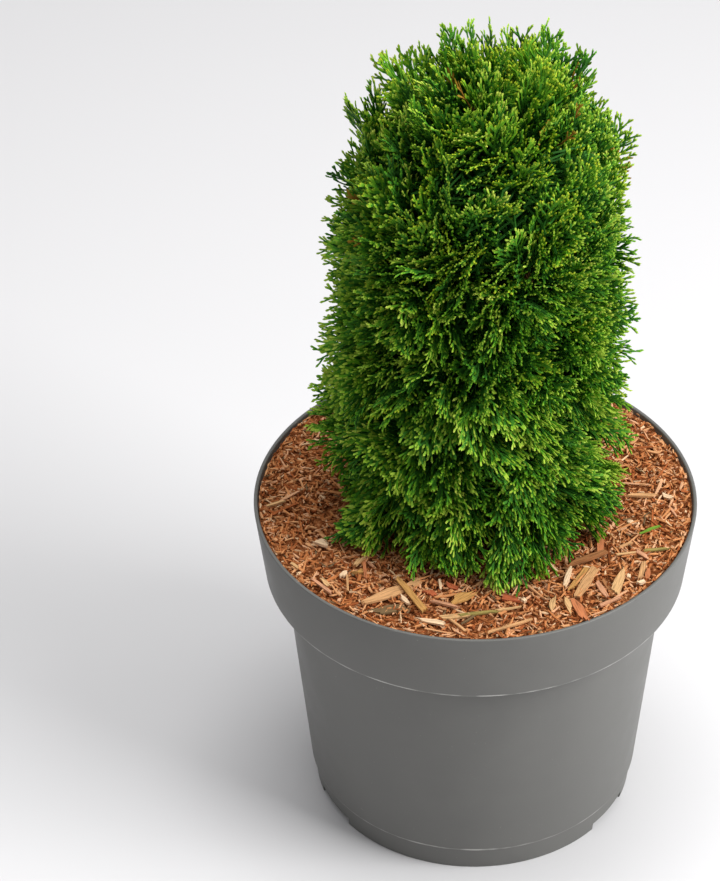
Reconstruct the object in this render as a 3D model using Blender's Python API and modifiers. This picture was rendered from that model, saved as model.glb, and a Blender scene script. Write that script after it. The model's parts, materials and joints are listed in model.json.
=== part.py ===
"""A potted dwarf arborvitae: one trunk, boughs and dense foliage masses over a mulched nursery pot.

The pot's axis is the Z axis and its foot stands on Z = 0. Lengths are in metres.
"""

import math
import random

import bmesh
import bpy
from mathutils import Matrix, Vector, noise

MILLIMETRE = 0.001
SEAT_GAP = 0.3 * MILLIMETRE
WELD = 0.003 * MILLIMETRE
UP = Vector((0, 0, 1))

# The pot: a tapered body under a deep, wider rim band
POT_SIDES = 48
RIM_RADIUS = 0.1157
RIM_HEIGHT = 0.1859
BAND_RADIUS = 0.1106
BAND_BOTTOM = 0.1440
BODY_RADIUS = 0.1007
CREASE_RADIUS = 0.0885
CREASE_HEIGHT = 0.0142
CREASE_ROUND = 0.0012
FOOT_RADIUS = 0.0870
FOOT_WIDTH = 0.0060
WALL = 0.0020
LIP_ROUND = 0.0005
BASE_UNDERSIDE = 0.0055
BASE_TOP = 0.0080
NOTCH_COUNT = 3
NOTCH_FIRST = math.radians(-33)
NOTCH_WIDTH = 0.0300
NOTCH_HEIGHT = 0.0048
HOLE_COUNT = 5
HOLE_RADIUS = 0.0060
HOLE_CIRCLE = 0.0550
HOLE_SIDES = 12

# The root ball and the mulch on it
SOIL_TOP = 0.1720
SIDE_GAP = 0.4 * MILLIMETRE
MULCH_EDGE = 0.1792
MULCH_MIDDLE = 0.1828
MULCH_RINGS = (0.028, 0.046, 0.062, 0.076, 0.088, 0.100)
MULCH_BUMP = 0.0012
MULCH_BUMP_SIZE = 0.018
CHIP_COUNT = 16
CHIP_LENGTHS = (0.012, 0.024)
CHIP_WIDTHS = (0.004, 0.008)
CHIP_THICKNESS = 0.0026
CHIP_TILT = math.radians(7)

# The large chips that stand out in front: each from one end to the other, then the width
LARGE_CHIPS = (
    ((-0.0604, -0.0796), (-0.0376, -0.0706), 0.0080),
    ((-0.0420, -0.0630), (-0.0309, -0.0882), 0.0052),
    ((0.0573, -0.0576), (0.0479, -0.0791), 0.0075),
    ((0.0745, -0.0580), (0.0687, -0.0764), 0.0066),
    ((0.0638, -0.0256), (0.0617, -0.0449), 0.0040),
)

# The crown: an egg that leans a little with its trunk
CROWN_FOOT = 0.1820
CROWN_X = -0.0036
CROWN_Y = 0.0040
LEAN_X = 0.029
LEAN_Y = -0.013
SKIRT_RADIUS = 0.0744
WIDEST_RADIUS = 0.0786
WIDEST_HEIGHT = 0.2937
CROWN_TOP = 0.4573
DOME_RISE_POWER = 2.73
DOME_ROUND_POWER = 2.9
FOLIAGE_BOTTOM = 0.1880

# The trunk, from its flat cut on the root ball to its tip under the top mass
TRUNK_TOP = 0.3960
TRUNK_FLARE = 0.0125
TRUNK_RADIUS = 0.0085
TRUNK_TIP = 0.0028
FLARE_HEIGHT = 0.0220
TRUNK_STEPS = 12
TRUNK_SWAY = 0.0012
TRUNK_RESOLUTION = 4

# Foliage masses: name, count, height, distance from the trunk, first heading, bough rise
TIERS = (
    ("low", 5, 0.2255, 0.0500, 18, 10),
    ("middle", 5, 0.2965, 0.0515, 54, 32),
    ("high", 5, 0.3670, 0.0470, 18, 38),
)
TOP_MASS_HEIGHT = 0.4260
TOP_MASS_BOTTOM = 0.4020
HOLLOW_RADIUS = 0.0290
CELL_GAP = 0.0016
CORE_INSET = (0.0085, 0.0130)
CORE_FOOT = 0.1700
CORE_SIDES = 20
CORE_RINGS = 11
CORE_TOP_DETAIL = 1.5

# Boughs: single tapering limbs from the trunk to their mass
BOUGH_ROOT = 0.0034
BOUGH_TIP = 0.0018
BOUGH_CLIMB = 0.0170
BOUGH_STEPS = 4
BOUGH_STOP = 0.0260
TIER_THINNING = 0.16

# Sprays: flat toothed fans, each on a three-sided twig
SPRAY_COUNT = 215
SPRAY_LENGTH = 0.0320
SPRAY_THICKNESS = 0.0024
SPRAY_HEART = 0.40
SPRAY_RISE_POWER = 1.3
SPRAY_LOWEST = math.radians(-6)
SPRAY_STAND_OUT = (-0.0030, 0.0065)
SPRAY_FIT_TRIES = 6
SPRAY_SHRINK = 0.90
SPRAY_MARGIN = 0.0004
SPRAY_ROLL = 0.8
TWIG_RADIUS = 0.0016
TWIG_TIP = 0.0008
TWIG_PAST_ROOT = 0.0040

# A fan's outline: heading off the spray's own, in degrees, and reach from its heart
SPRAY_OUTLINE = (
    (180, 0.40),
    (-72, 0.34),
    (-50, 0.24),
    (-32, 0.50),
    (-15, 0.30),
    (0, 0.60),
    (15, 0.30),
    (32, 0.50),
    (50, 0.24),
    (72, 0.34),
)

# Longer tufts that break the outline: heading round the trunk, height, how far they stand out
TUFTS = (
    (146, 0.439, 0.010),
    (117, 0.448, 0.009),
    (95, 0.450, 0.009),
    (72, 0.449, 0.012),
    (60, 0.448, 0.010),
    (48, 0.446, 0.011),
    (30, 0.442, 0.012),
    (200, 0.450, 0.007),
    (290, 0.451, 0.008),
    (164, 0.416, 0.011),
    (6, 0.407, 0.009),
    (-5, 0.335, 0.009),
    (-8, 0.305, 0.009),
    (181, 0.233, 0.014),
)


def clear_scene():
    """Removes whatever the scene starts with."""
    for obj in list(bpy.data.objects):
        bpy.data.objects.remove(obj)


def new_collection(name):
    """Makes a collection in the scene."""
    collection = bpy.data.collections.new(name)
    bpy.context.scene.collection.children.link(collection)
    return collection


def new_object(name, data, collection):
    """Makes an object from its data and links it to a collection."""
    obj = bpy.data.objects.new(name, data)
    collection.objects.link(obj)
    return obj


def new_material(name, colour, roughness):
    """Makes a plain Principled finish."""
    material = bpy.data.materials.new(name)
    material.use_nodes = True
    shader = material.node_tree.nodes["Principled BSDF"]
    shader.inputs["Base Color"].default_value = (*colour, 1)
    shader.inputs["Roughness"].default_value = roughness
    shader.inputs["Metallic"].default_value = 0
    return material


def set_material(obj, material):
    """Gives an object one finish."""
    obj.data.materials.clear()
    obj.data.materials.append(material)


def evaluated_mesh(obj):
    """Returns a new mesh of the object as its modifiers leave it."""
    bpy.context.view_layer.update()
    graph = bpy.context.evaluated_depsgraph_get()
    return bpy.data.meshes.new_from_object(obj.evaluated_get(graph))


def weld(mesh):
    """Welds points that lie on each other and turns all faces outwards."""
    bm = bmesh.new()
    bm.from_mesh(mesh)
    bmesh.ops.remove_doubles(bm, verts=bm.verts, dist=0.01 * MILLIMETRE)
    bmesh.ops.recalc_face_normals(bm, faces=bm.faces)
    bm.to_mesh(mesh)
    bm.free()


def apply_modifiers(obj):
    """Puts the modifiers' result into the object's own mesh."""
    mesh = evaluated_mesh(obj)
    obj.modifiers.clear()
    obj.data = mesh


def turned(name, profile, collection):
    """Turns a profile of (radius, height) points, up its inner side and down its outer one."""
    bm = bmesh.new()
    points = [bm.verts.new((radius, 0, height)) for radius, height in profile]
    for first, second in zip(points, points[1:]):
        bm.edges.new((first, second))
    mesh = bpy.data.meshes.new(name)
    bm.to_mesh(mesh)
    bm.free()
    obj = new_object(name, mesh, collection)
    screw = obj.modifiers.new("Screw", "SCREW")
    screw.steps = POT_SIDES
    screw.render_steps = POT_SIDES
    screw.use_merge_vertices = True
    screw.merge_threshold = 0.01 * MILLIMETRE
    apply_modifiers(obj)
    return obj


def limb(name, points, radii, collection, resolution):
    """Makes one closed tapering limb through the points, as a bevelled curve made a mesh."""
    data = bpy.data.curves.new(name, "CURVE")
    data.dimensions = "3D"
    data.bevel_depth = MILLIMETRE
    data.bevel_resolution = resolution
    data.use_fill_caps = True
    spline = data.splines.new("POLY")
    spline.points.add(len(points) - 1)
    for point, place, radius in zip(spline.points, points, radii):
        point.co = (*place, 1)
        point.radius = radius / MILLIMETRE
    curve = new_object(name + "_curve", data, collection)
    mesh = evaluated_mesh(curve)
    bpy.data.objects.remove(curve)
    weld(mesh)
    return new_object(name, mesh, collection)


def bodies_of(bm):
    """Returns the separate bodies of a mesh, as lists of faces."""
    left = set(bm.faces)
    bodies = []
    while left:
        body = []
        front = [left.pop()]
        while front:
            face = front.pop()
            body.append(face)
            for edge in face.edges:
                for other in edge.link_faces:
                    if other in left:
                        left.remove(other)
                        front.append(other)
        bodies.append(body)
    return bodies


def volume_of(faces):
    """Returns six times the volume that triangles close, below zero for a sealed hollow."""
    total = 0
    for face in faces:
        first, second, third = (vert.co for vert in face.verts)
        total += first.dot(second.cross(third))
    return total


def keep_one_body(mesh):
    """Drops loose scraps and fills sealed hollows, and tells whether one closed body is left."""
    bm = bmesh.new()
    bm.from_mesh(mesh)
    bmesh.ops.triangulate(bm, faces=bm.faces)
    bmesh.ops.remove_doubles(bm, verts=bm.verts, dist=WELD)
    bmesh.ops.dissolve_degenerate(bm, edges=bm.edges, dist=WELD)
    bmesh.ops.triangulate(bm, faces=bm.faces)
    bodies = sorted(bodies_of(bm), key=volume_of)
    for body in bodies[:-1]:
        bmesh.ops.delete(bm, geom=body, context="FACES")
    closed = all(edge.is_manifold for edge in bm.edges)
    bm.to_mesh(mesh)
    bm.free()
    return closed


def fuse(obj, pieces):
    """Joins the pieces to the object with one union, by the other solver where EXACT doesn't close it."""
    whole = obj.data
    for solver in ("EXACT", "MANIFOLD"):
        obj.data = whole
        union = obj.modifiers.new("Union", "BOOLEAN")
        union.operation = "UNION"
        union.operand_type = "COLLECTION"
        union.collection = pieces
        union.solver = solver
        apply_modifiers(obj)
        if keep_one_body(obj.data):
            break
    for piece in list(pieces.objects):
        bpy.data.objects.remove(piece)
    bpy.data.collections.remove(pieces)


def cut(obj, cutter):
    """Cuts the cutter's shape out of the object."""
    difference = obj.modifiers.new("Cut", "BOOLEAN")
    difference.operation = "DIFFERENCE"
    difference.object = cutter
    difference.solver = "EXACT"
    apply_modifiers(obj)
    keep_one_body(obj.data)


def hide_cutter(obj):
    """Leaves a cutter out of the part."""
    obj.hide_render = True
    obj.display_type = "WIRE"


def primitive_object(name, bm, collection):
    """Makes an object from a finished bmesh."""
    mesh = bpy.data.meshes.new(name)
    bm.to_mesh(mesh)
    bm.free()
    return new_object(name, mesh, collection)


def turn_to(heading, face_normal):
    """Returns the rotation whose Y axis is the heading and whose Z axis is nearest the normal."""
    side = heading.cross(face_normal).normalized()
    normal = side.cross(heading).normalized()
    return Matrix((side, heading, normal)).transposed()


def smooth(obj):
    """Shades a round piece smooth, with its sharp edges kept."""
    obj.data.shade_smooth()
    obj.data.set_sharp_from_angle(angle=math.radians(35))


# Pot, root ball and mulch

def pot_wall_radius(height):
    """Returns the radius of the pot's inner wall above the band's step."""
    share = (height - BAND_BOTTOM) / (RIM_HEIGHT - BAND_BOTTOM)
    return BAND_RADIUS + (RIM_RADIUS - BAND_RADIUS) * share - WALL


def pot_profile():
    """Returns the pot's outline: inside floor, inner wall, lip, outer wall, foot, underside."""
    step = BAND_BOTTOM + WALL
    return (
        (0, BASE_TOP),
        (FOOT_RADIUS - WALL, BASE_TOP),
        (CREASE_RADIUS - WALL, CREASE_HEIGHT),
        (BODY_RADIUS - WALL, step),
        (pot_wall_radius(step), step),
        (RIM_RADIUS - WALL, RIM_HEIGHT - LIP_ROUND),
        (RIM_RADIUS - WALL + LIP_ROUND, RIM_HEIGHT),
        (RIM_RADIUS - LIP_ROUND, RIM_HEIGHT),
        (RIM_RADIUS, RIM_HEIGHT - LIP_ROUND),
        (BAND_RADIUS, BAND_BOTTOM),
        (BODY_RADIUS, BAND_BOTTOM),
        (CREASE_RADIUS, CREASE_HEIGHT + CREASE_ROUND),
        (CREASE_RADIUS - CREASE_ROUND, CREASE_HEIGHT),
        (FOOT_RADIUS - CREASE_ROUND, 0),
        (FOOT_RADIUS - FOOT_WIDTH, 0),
        (FOOT_RADIUS - FOOT_WIDTH, BASE_UNDERSIDE),
        (0, BASE_UNDERSIDE),
    )


def drain_cutter(cutters):
    """Makes the foot ring's notches and the base's drain holes as one cutter."""
    bm = bmesh.new()
    for index in range(NOTCH_COUNT):
        turn = Matrix.Rotation(NOTCH_FIRST + 2 * math.pi * index / NOTCH_COUNT, 4, "Z")
        place = Matrix.Translation((FOOT_RADIUS - FOOT_WIDTH / 2, 0, 0))
        size = Matrix.Diagonal((FOOT_WIDTH * 1.6, NOTCH_WIDTH, 2 * NOTCH_HEIGHT, 1))
        bmesh.ops.create_cube(bm, size=1, matrix=turn @ place @ size)
    for index in range(HOLE_COUNT):
        turn = Matrix.Rotation(2 * math.pi * index / HOLE_COUNT, 4, "Z")
        place = Matrix.Translation((HOLE_CIRCLE, 0, (BASE_UNDERSIDE + BASE_TOP) / 2))
        bmesh.ops.create_cone(
            bm,
            cap_ends=True,
            segments=HOLE_SIDES,
            radius1=HOLE_RADIUS,
            radius2=HOLE_RADIUS,
            depth=2 * (BASE_TOP - BASE_UNDERSIDE),
            matrix=turn @ place,
        )
    cutter = primitive_object("drain_cutter", bm, cutters)
    hide_cutter(cutter)
    return cutter


def make_pot(parts, cutters):
    """Makes the pot, with notches in its foot and holes in its base."""
    pot = turned("pot", pot_profile(), parts)
    cut(pot, drain_cutter(cutters))
    smooth(pot)
    set_material(pot, new_material("grey_plastic", (0.17, 0.17, 0.16), 0.5))


def make_soil(parts):
    """Makes the root ball, which fills the pot up to the mulch."""
    step = BAND_BOTTOM + WALL + SEAT_GAP
    soil = turned(
        "soil",
        (
            (0, SOIL_TOP),
            (pot_wall_radius(SOIL_TOP) - SIDE_GAP, SOIL_TOP),
            (pot_wall_radius(step) - SIDE_GAP, step),
            (BODY_RADIUS - WALL - SIDE_GAP, step),
            (CREASE_RADIUS - WALL - SIDE_GAP, CREASE_HEIGHT),
            (FOOT_RADIUS - WALL - SIDE_GAP, BASE_TOP + SEAT_GAP),
            (0, BASE_TOP + SEAT_GAP),
        ),
        parts,
    )
    set_material(soil, new_material("dark_soil", (0.05, 0.03, 0.02), 0.95))


def mulch_height(x, y):
    """Returns the height of the mulch's surface: it rises to the plant and is a little bumpy."""
    share = min(1, math.hypot(x, y) / RIM_RADIUS)
    base = MULCH_MIDDLE + (MULCH_EDGE - MULCH_MIDDLE) * share**2
    return base + MULCH_BUMP * noise.noise(Vector((x, y, 0)) / MULCH_BUMP_SIZE)


def chip_object(middle, heading, length, width, tilt, pieces):
    """Makes one chip that lies in the mulch's surface."""
    bm = bmesh.new()
    size = Matrix.Diagonal((length, width, CHIP_THICKNESS, 1))
    turn = Matrix.Rotation(heading, 4, "Z") @ Matrix.Rotation(tilt, 4, "Y")
    place = Matrix.Translation((*middle, mulch_height(*middle) + CHIP_THICKNESS / 4))
    bmesh.ops.create_cube(bm, size=1, matrix=place @ turn @ size)
    return primitive_object("chip", bm, pieces)


def scatter_chips(pieces, rng):
    """Lays the large chips in their places and the others at random in the open mulch."""
    for first, second, width in LARGE_CHIPS:
        along = Vector(second) - Vector(first)
        middle = (Vector(first) + Vector(second)) / 2
        heading = math.atan2(along.y, along.x)
        chip_object(middle, heading, along.length, width, CHIP_TILT / 2, pieces)
    outer = pot_wall_radius(MULCH_EDGE)
    for _ in range(CHIP_COUNT):
        length = rng.uniform(*CHIP_LENGTHS)
        away = rng.uniform(SKIRT_RADIUS, outer - length * 0.62)
        around = rng.uniform(-math.pi, math.pi)
        middle = (away * math.cos(around), away * math.sin(around))
        heading = rng.uniform(-math.pi, math.pi)
        tilt = rng.uniform(-CHIP_TILT, CHIP_TILT)
        chip_object(middle, heading, length, rng.uniform(*CHIP_WIDTHS), tilt, pieces)


def make_mulch(parts, cutters):
    """Makes the layer of wood chips, open round the trunk."""
    bottom = SOIL_TOP + SEAT_GAP
    edge = pot_wall_radius(MULCH_EDGE) - SIDE_GAP
    bottom_edge = pot_wall_radius(bottom) - SIDE_GAP
    rings = (0, *MULCH_RINGS, edge)
    profile = [(radius, MULCH_EDGE) for radius in rings] + [(bottom_edge, bottom), (0, bottom)]
    mulch = turned("mulch", profile, parts)
    for vert in mulch.data.vertices:
        if vert.co.z > (bottom + MULCH_EDGE) / 2:
            share = min(1, max(0, (edge - vert.co.xy.length) / SIDE_GAP))
            level = mulch_height(vert.co.x, vert.co.y)
            vert.co.z = level if share else min(level, MULCH_EDGE)
    pieces = new_collection("chips")
    scatter_chips(pieces, random.Random(7))
    fuse(mulch, pieces)
    foot = crown_axis(SOIL_TOP)
    bm = bmesh.new()
    bmesh.ops.create_cone(
        bm,
        cap_ends=True,
        segments=HOLE_SIDES,
        radius1=TRUNK_FLARE + 3 * SEAT_GAP,
        radius2=TRUNK_FLARE + 3 * SEAT_GAP,
        depth=MULCH_MIDDLE,
        matrix=Matrix.Translation(foot),
    )
    cutter = primitive_object("mulch_cutter", bm, cutters)
    hide_cutter(cutter)
    cut(mulch, cutter)
    set_material(mulch, new_material("wood_chips", (0.30, 0.12, 0.055), 0.9))


# Trunk and boughs

def crown_axis(height):
    """Returns the middle of the crown at this height, which the trunk follows."""
    rise = height - CROWN_FOOT
    return Vector((CROWN_X + LEAN_X * rise, CROWN_Y + LEAN_Y * rise, height))


def crown_radius(height):
    """Returns how far foliage reaches from the crown's middle at this height."""
    if height < WIDEST_HEIGHT:
        drop = (WIDEST_HEIGHT - height) / (WIDEST_HEIGHT - CROWN_FOOT)
        return WIDEST_RADIUS + (SKIRT_RADIUS - WIDEST_RADIUS) * drop**2
    rise = min(1, (height - WIDEST_HEIGHT) / (CROWN_TOP - WIDEST_HEIGHT))
    return WIDEST_RADIUS * (1 - rise**DOME_RISE_POWER) ** (1 / DOME_ROUND_POWER)


def trunk_radius(height):
    """Returns the trunk's radius: a root flare, then an even taper to the tip."""
    rise = height - SOIL_TOP
    share = rise / (TRUNK_TOP - SOIL_TOP)
    flare = max(0, 1 - rise / FLARE_HEIGHT) ** 2
    taper = TRUNK_RADIUS + (TRUNK_TIP - TRUNK_RADIUS) * share
    return taper + (TRUNK_FLARE - TRUNK_RADIUS) * flare


def trunk_middle(height):
    """Returns the trunk's middle, which sways a little about the crown's."""
    share = (height - SOIL_TOP) / (TRUNK_TOP - SOIL_TOP)
    sway = TRUNK_SWAY * math.sin(share * 3 * math.pi) * math.sin(share * math.pi)
    return crown_axis(height) + Vector((sway, -sway, 0))


def trunk_limb(name, extra, collection):
    """Makes the trunk, or with extra radius the cutter that seats the boughs on it."""
    bottom = SOIL_TOP + SEAT_GAP
    heights = [bottom, bottom + FLARE_HEIGHT / 3, bottom + 2 * FLARE_HEIGHT / 3]
    start = bottom + FLARE_HEIGHT
    for step in range(TRUNK_STEPS):
        heights.append(start + (TRUNK_TOP - start) * step / (TRUNK_STEPS - 1))
    points = [trunk_middle(height) for height in heights]
    points[0] = Vector((points[1].x, points[1].y, bottom))
    radii = [trunk_radius(height) + extra for height in heights]
    return limb(name, points, radii, collection, TRUNK_RESOLUTION)


def bezier(start, middle, end, share):
    """Returns a point of the curve with these three control points."""
    return start * (1 - share) ** 2 + middle * 2 * share * (1 - share) + end * share**2


def make_bough(mass, size, trunk_cutter, parts, material):
    """Makes the bough that carries a mass, seated on the trunk, and returns its tip and heading."""
    towards = mass.outward * math.cos(mass.rise) + UP * math.sin(mass.rise)
    away = (mass.centre - crown_axis(mass.centre.z)).dot(mass.outward)
    tip = mass.centre - towards * ((away - BOUGH_STOP) / math.cos(mass.rise))
    root = trunk_middle(tip.z - BOUGH_CLIMB)
    bend = tip - towards * (tip - root).length * 0.5
    points = [bezier(root, bend, tip, step / BOUGH_STEPS) for step in range(BOUGH_STEPS + 1)]
    radii = []
    for step in range(BOUGH_STEPS + 1):
        share = step / BOUGH_STEPS
        radii.append(size * (BOUGH_ROOT + (BOUGH_TIP - BOUGH_ROOT) * share))
    bough = limb(mass.name.replace("foliage", "bough"), points, radii, parts, 1)
    cut(bough, trunk_cutter)
    smooth(bough)
    set_material(bough, material)
    heading = (points[-1] - points[-2]).normalized()
    return tip, heading, radii[-1]


# Foliage

class Mass:
    """One foliage mass, and the space that it keeps to."""

    def __init__(self, name, centre, outward, rise):
        self.name = name
        self.centre = centre
        self.outward = outward
        self.rise = rise
        self.walls = []

    def wall_off(self, others):
        """Sets the planes that the mass stays behind: its neighbours', the hollow's and the floor."""
        for other in others:
            if other is self:
                continue
            across = other.centre - self.centre
            self.walls.append((self.centre + across / 2, across.normalized(), CELL_GAP / 2))
        if self.outward:
            inner = crown_axis(self.centre.z) + self.outward * HOLLOW_RADIUS
            self.walls.append((inner, -self.outward, 0))
            floor = FOLIAGE_BOTTOM
        else:
            floor = TOP_MASS_BOTTOM
        self.walls.append((Vector((0, 0, floor)), -UP, 0))

    def holds(self, point, margin):
        """Tells whether a point lies in the mass's space, the crown's outline aside."""
        return all((point - at).dot(out) < -gap - margin for at, out, gap in self.walls)


def make_masses():
    """Lays out the masses in tiers round the trunk, with one at the top."""
    masses = []
    for tier, count, height, away, first, rise in TIERS:
        for index in range(count):
            around = math.radians(first + 360 * index / count)
            outward = Vector((math.cos(around), math.sin(around), 0))
            centre = crown_axis(height) + outward * away
            name = f"foliage_{tier}_{index + 1}"
            masses.append(Mass(name, centre, outward, math.radians(rise)))
    masses.append(Mass("foliage_top", crown_axis(TOP_MASS_HEIGHT), None, math.pi / 2))
    for mass in masses:
        mass.wall_off(masses)
    return masses


def crown_normal(height):
    """Returns the outward and upward parts of the crown outline's normal at this height."""
    step = MILLIMETRE
    slope = (crown_radius(height + step) - crown_radius(height - step)) / (2 * step)
    return Vector((1, -slope)).normalized()


def core_point(direction, inset):
    """Returns the point of the smaller crown that a direction of the unit sphere stands for."""
    share = 1 - math.acos(max(-1, min(1, direction.z))) / math.pi
    height = CORE_FOOT + (CROWN_TOP - MILLIMETRE - CORE_FOOT) * (1 - (1 - share) ** CORE_TOP_DETAIL)
    out, rise = crown_normal(height)
    middle = crown_axis(height - inset * rise)
    around = Vector((direction.x, direction.y, 0))
    if around.length < 1e-4:
        return middle
    return middle + around.normalized() * max(0, crown_radius(height) - inset * out)


def make_core(mass, rng, parts):
    """Makes the dense inside of a mass: what its own space holds of a smaller crown."""
    bm = bmesh.new()
    bmesh.ops.create_uvsphere(bm, u_segments=CORE_SIDES, v_segments=CORE_RINGS, radius=1)
    for vert in bm.verts:
        vert.co = core_point(vert.co.copy(), rng.uniform(*CORE_INSET))
    for at, out, gap in mass.walls:
        geometry = bm.verts[:] + bm.edges[:] + bm.faces[:]
        halves = bmesh.ops.bisect_plane(
            bm, geom=geometry, plane_co=at - out * gap, plane_no=out, clear_outer=True
        )
        rim = [item for item in halves["geom_cut"] if isinstance(item, bmesh.types.BMEdge)]
        if rim:
            bmesh.ops.edgeloop_fill(bm, edges=rim)
    bmesh.ops.remove_doubles(bm, verts=bm.verts, dist=WELD)
    bmesh.ops.triangulate(bm, faces=bm.faces)
    bmesh.ops.recalc_face_normals(bm, faces=bm.faces)
    return primitive_object(mass.name, bm, parts)


def cone_object(name, start, end, radius, tip, sides, pieces):
    """Makes a closed cone or rod between two points."""
    along = end - start
    bm = bmesh.new()
    bmesh.ops.create_cone(
        bm,
        cap_ends=True,
        segments=sides,
        radius1=radius,
        radius2=tip,
        depth=along.length,
        matrix=Matrix.Translation((start + end) / 2)
        @ along.to_track_quat("Z", "Y").to_matrix().to_4x4(),
    )
    return primitive_object(name, bm, pieces)


def spray_points(tip, heading, normal, length, outline):
    """Returns a fan's outline, then the middles of its two faces."""
    frame = turn_to(heading, normal)
    heart = tip - heading * length * (1 - SPRAY_HEART)
    points = []
    for angle, reach in outline:
        turn = math.radians(angle)
        flat = Vector((math.sin(turn), math.cos(turn), 0)) * reach * length
        points.append(heart + frame @ flat)
    lift = frame @ Vector((0, 0, SPRAY_THICKNESS / 2))
    return points, (heart - lift, heart + lift)


def spray_object(points, middles, pieces):
    """Makes a toothed fan: a flat ring of points between the middles of its faces."""
    bm = bmesh.new()
    bmesh.ops.create_uvsphere(bm, u_segments=len(points), v_segments=2, radius=1)
    ring = [vert for vert in bm.verts if abs(vert.co.z) < 0.5]
    ring.sort(key=lambda vert: math.atan2(vert.co.x, vert.co.y) % (2 * math.pi))
    poles = [vert for vert in bm.verts if abs(vert.co.z) > 0.5]
    poles.sort(key=lambda vert: vert.co.z)
    for vert, point in zip(ring + poles, (*points, *middles)):
        vert.co = point
    bmesh.ops.recalc_face_normals(bm, faces=bm.faces)
    return primitive_object("spray", bm, pieces)


def surface_spots(count):
    """Yields points spread evenly over the crown's outline, on a golden-angle spiral."""
    steps = 400
    heights = [
        FOLIAGE_BOTTOM + (CROWN_TOP - FOLIAGE_BOTTOM) * (1 - (1 - step / steps) ** 2)
        for step in range(steps + 1)
    ]
    areas = [0]
    for low, high in zip(heights, heights[1:]):
        slant = math.hypot(high - low, crown_radius(high) - crown_radius(low))
        areas.append(areas[-1] + slant * (crown_radius(low) + crown_radius(high)))
    step = 0
    for index in range(count):
        wanted = areas[-1] * (index + 0.5) / count
        while areas[step + 1] < wanted:
            step += 1
        share = (wanted - areas[step]) / (areas[step + 1] - areas[step])
        height = heights[step] + (heights[step + 1] - heights[step]) * share
        around = index * math.pi * (3 - math.sqrt(5))
        yield around, height


def outline_point(around, height, stand_out):
    """Returns a point near the crown's outline and the direction in which sprays there grow."""
    outward = Vector((math.cos(around), math.sin(around), 0))
    share = max(0, (height - CROWN_FOOT) / (CROWN_TOP - CROWN_FOOT))
    rise = SPRAY_LOWEST + (math.pi / 2 - SPRAY_LOWEST) * share**SPRAY_RISE_POWER
    growth = outward * math.cos(rise) + UP * math.sin(rise)
    surface = crown_axis(height) + outward * crown_radius(height)
    return surface + growth * stand_out, growth


def grow_spray(mass, tip, growth, pieces, rng):
    """Grows one spray and its twig towards a tip, or skips it where the space is too small."""
    from_centre = (tip - mass.centre).normalized()
    heading = (from_centre + growth).normalized()
    outline = []
    for angle, reach in SPRAY_OUTLINE:
        outline.append((angle, reach * rng.uniform(0.88, 1.08)))
    length = SPRAY_LENGTH * rng.uniform(0.9, 1.1)
    for _ in range(SPRAY_FIT_TRIES):
        side = heading.cross(UP + Vector((0.01, 0, 0))).normalized()
        normal = Matrix.Rotation(rng.gauss(0, SPRAY_ROLL), 3, heading) @ side
        points, middles = spray_points(tip, heading, normal, length, outline)
        root = points[0]
        if all(mass.holds(point, SPRAY_MARGIN) for point in points):
            end = root + heading * TWIG_PAST_ROOT
            cone_object("twig", mass.centre, end, TWIG_RADIUS, TWIG_TIP, 3, pieces)
            spray_object(points, middles, pieces)
            return
        length *= SPRAY_SHRINK


def grow_sprays(masses, rng):
    """Deals the crown's spray tips out to the masses and returns each mass's own."""
    tips = {mass.name: [] for mass in masses}
    spots = []
    for around, height in surface_spots(SPRAY_COUNT):
        spots.append((around, height, rng.uniform(*SPRAY_STAND_OUT)))
    for heading, height, stand_out in TUFTS:
        spots.append((math.radians(heading), height, stand_out))
    for around, height, stand_out in spots:
        tip, growth = outline_point(around, height, stand_out)
        nearest = min(masses, key=lambda mass: (mass.centre - tip).length)
        tips[nearest.name].append((tip, growth))
    return tips


def make_mass(mass, stem, tips, rng, parts, material):
    """Makes one foliage mass: core, stem, twigs and sprays, fused."""
    obj = make_core(mass, rng, parts)
    pieces = new_collection(mass.name + "_pieces")
    start, heading, radius = stem
    start = start + heading * SEAT_GAP
    end = start + heading * (mass.centre - start).length
    cone_object("stem", start, end, radius, radius, 6, pieces)
    for tip, growth in tips:
        grow_spray(mass, tip, growth, pieces, rng)
    fuse(obj, pieces)
    set_material(obj, material)


def make_plant(parts, cutters):
    """Makes the trunk, then each mass with the bough that carries it."""
    bark = new_material("bark", (0.20, 0.11, 0.06), 0.85)
    foliage = new_material("green_foliage", (0.07, 0.19, 0.02), 0.6)
    trunk = trunk_limb("trunk", 0, parts)
    smooth(trunk)
    set_material(trunk, bark)
    trunk_cutter = trunk_limb("trunk_cutter", SEAT_GAP, cutters)
    hide_cutter(trunk_cutter)
    rng = random.Random(21)
    masses = make_masses()
    tips = grow_sprays(masses, rng)
    sizes = {tier[0]: 1 - TIER_THINNING * index for index, tier in enumerate(TIERS)}
    for mass in masses:
        if mass.outward:
            size = sizes[mass.name.split("_")[1]]
            stem = make_bough(mass, size, trunk_cutter, parts, bark)
        else:
            stem = (trunk_middle(TRUNK_TOP), UP, TRUNK_TIP * 0.9)
        make_mass(mass, stem, tips[mass.name], rng, parts, foliage)


def main():
    """Builds the potted plant."""
    clear_scene()
    parts = new_collection("potted_arborvitae")
    cutters = new_collection("cutters")
    make_pot(parts, cutters)
    make_soil(parts)
    make_mulch(parts, cutters)
    make_plant(parts, cutters)


main()
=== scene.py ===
"""A potted dwarf arborvitae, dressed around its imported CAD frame.

The pot, the mulch, the bark and the foliage stand where the CAD nodes do. Lengths are in
metres, the pot's axis is the Z axis and its foot stands on Z = 0.
"""

import json
import logging
import math
import random
from dataclasses import dataclass
from enum import Enum, IntEnum
from typing import Callable, Iterator, Sequence

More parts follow.
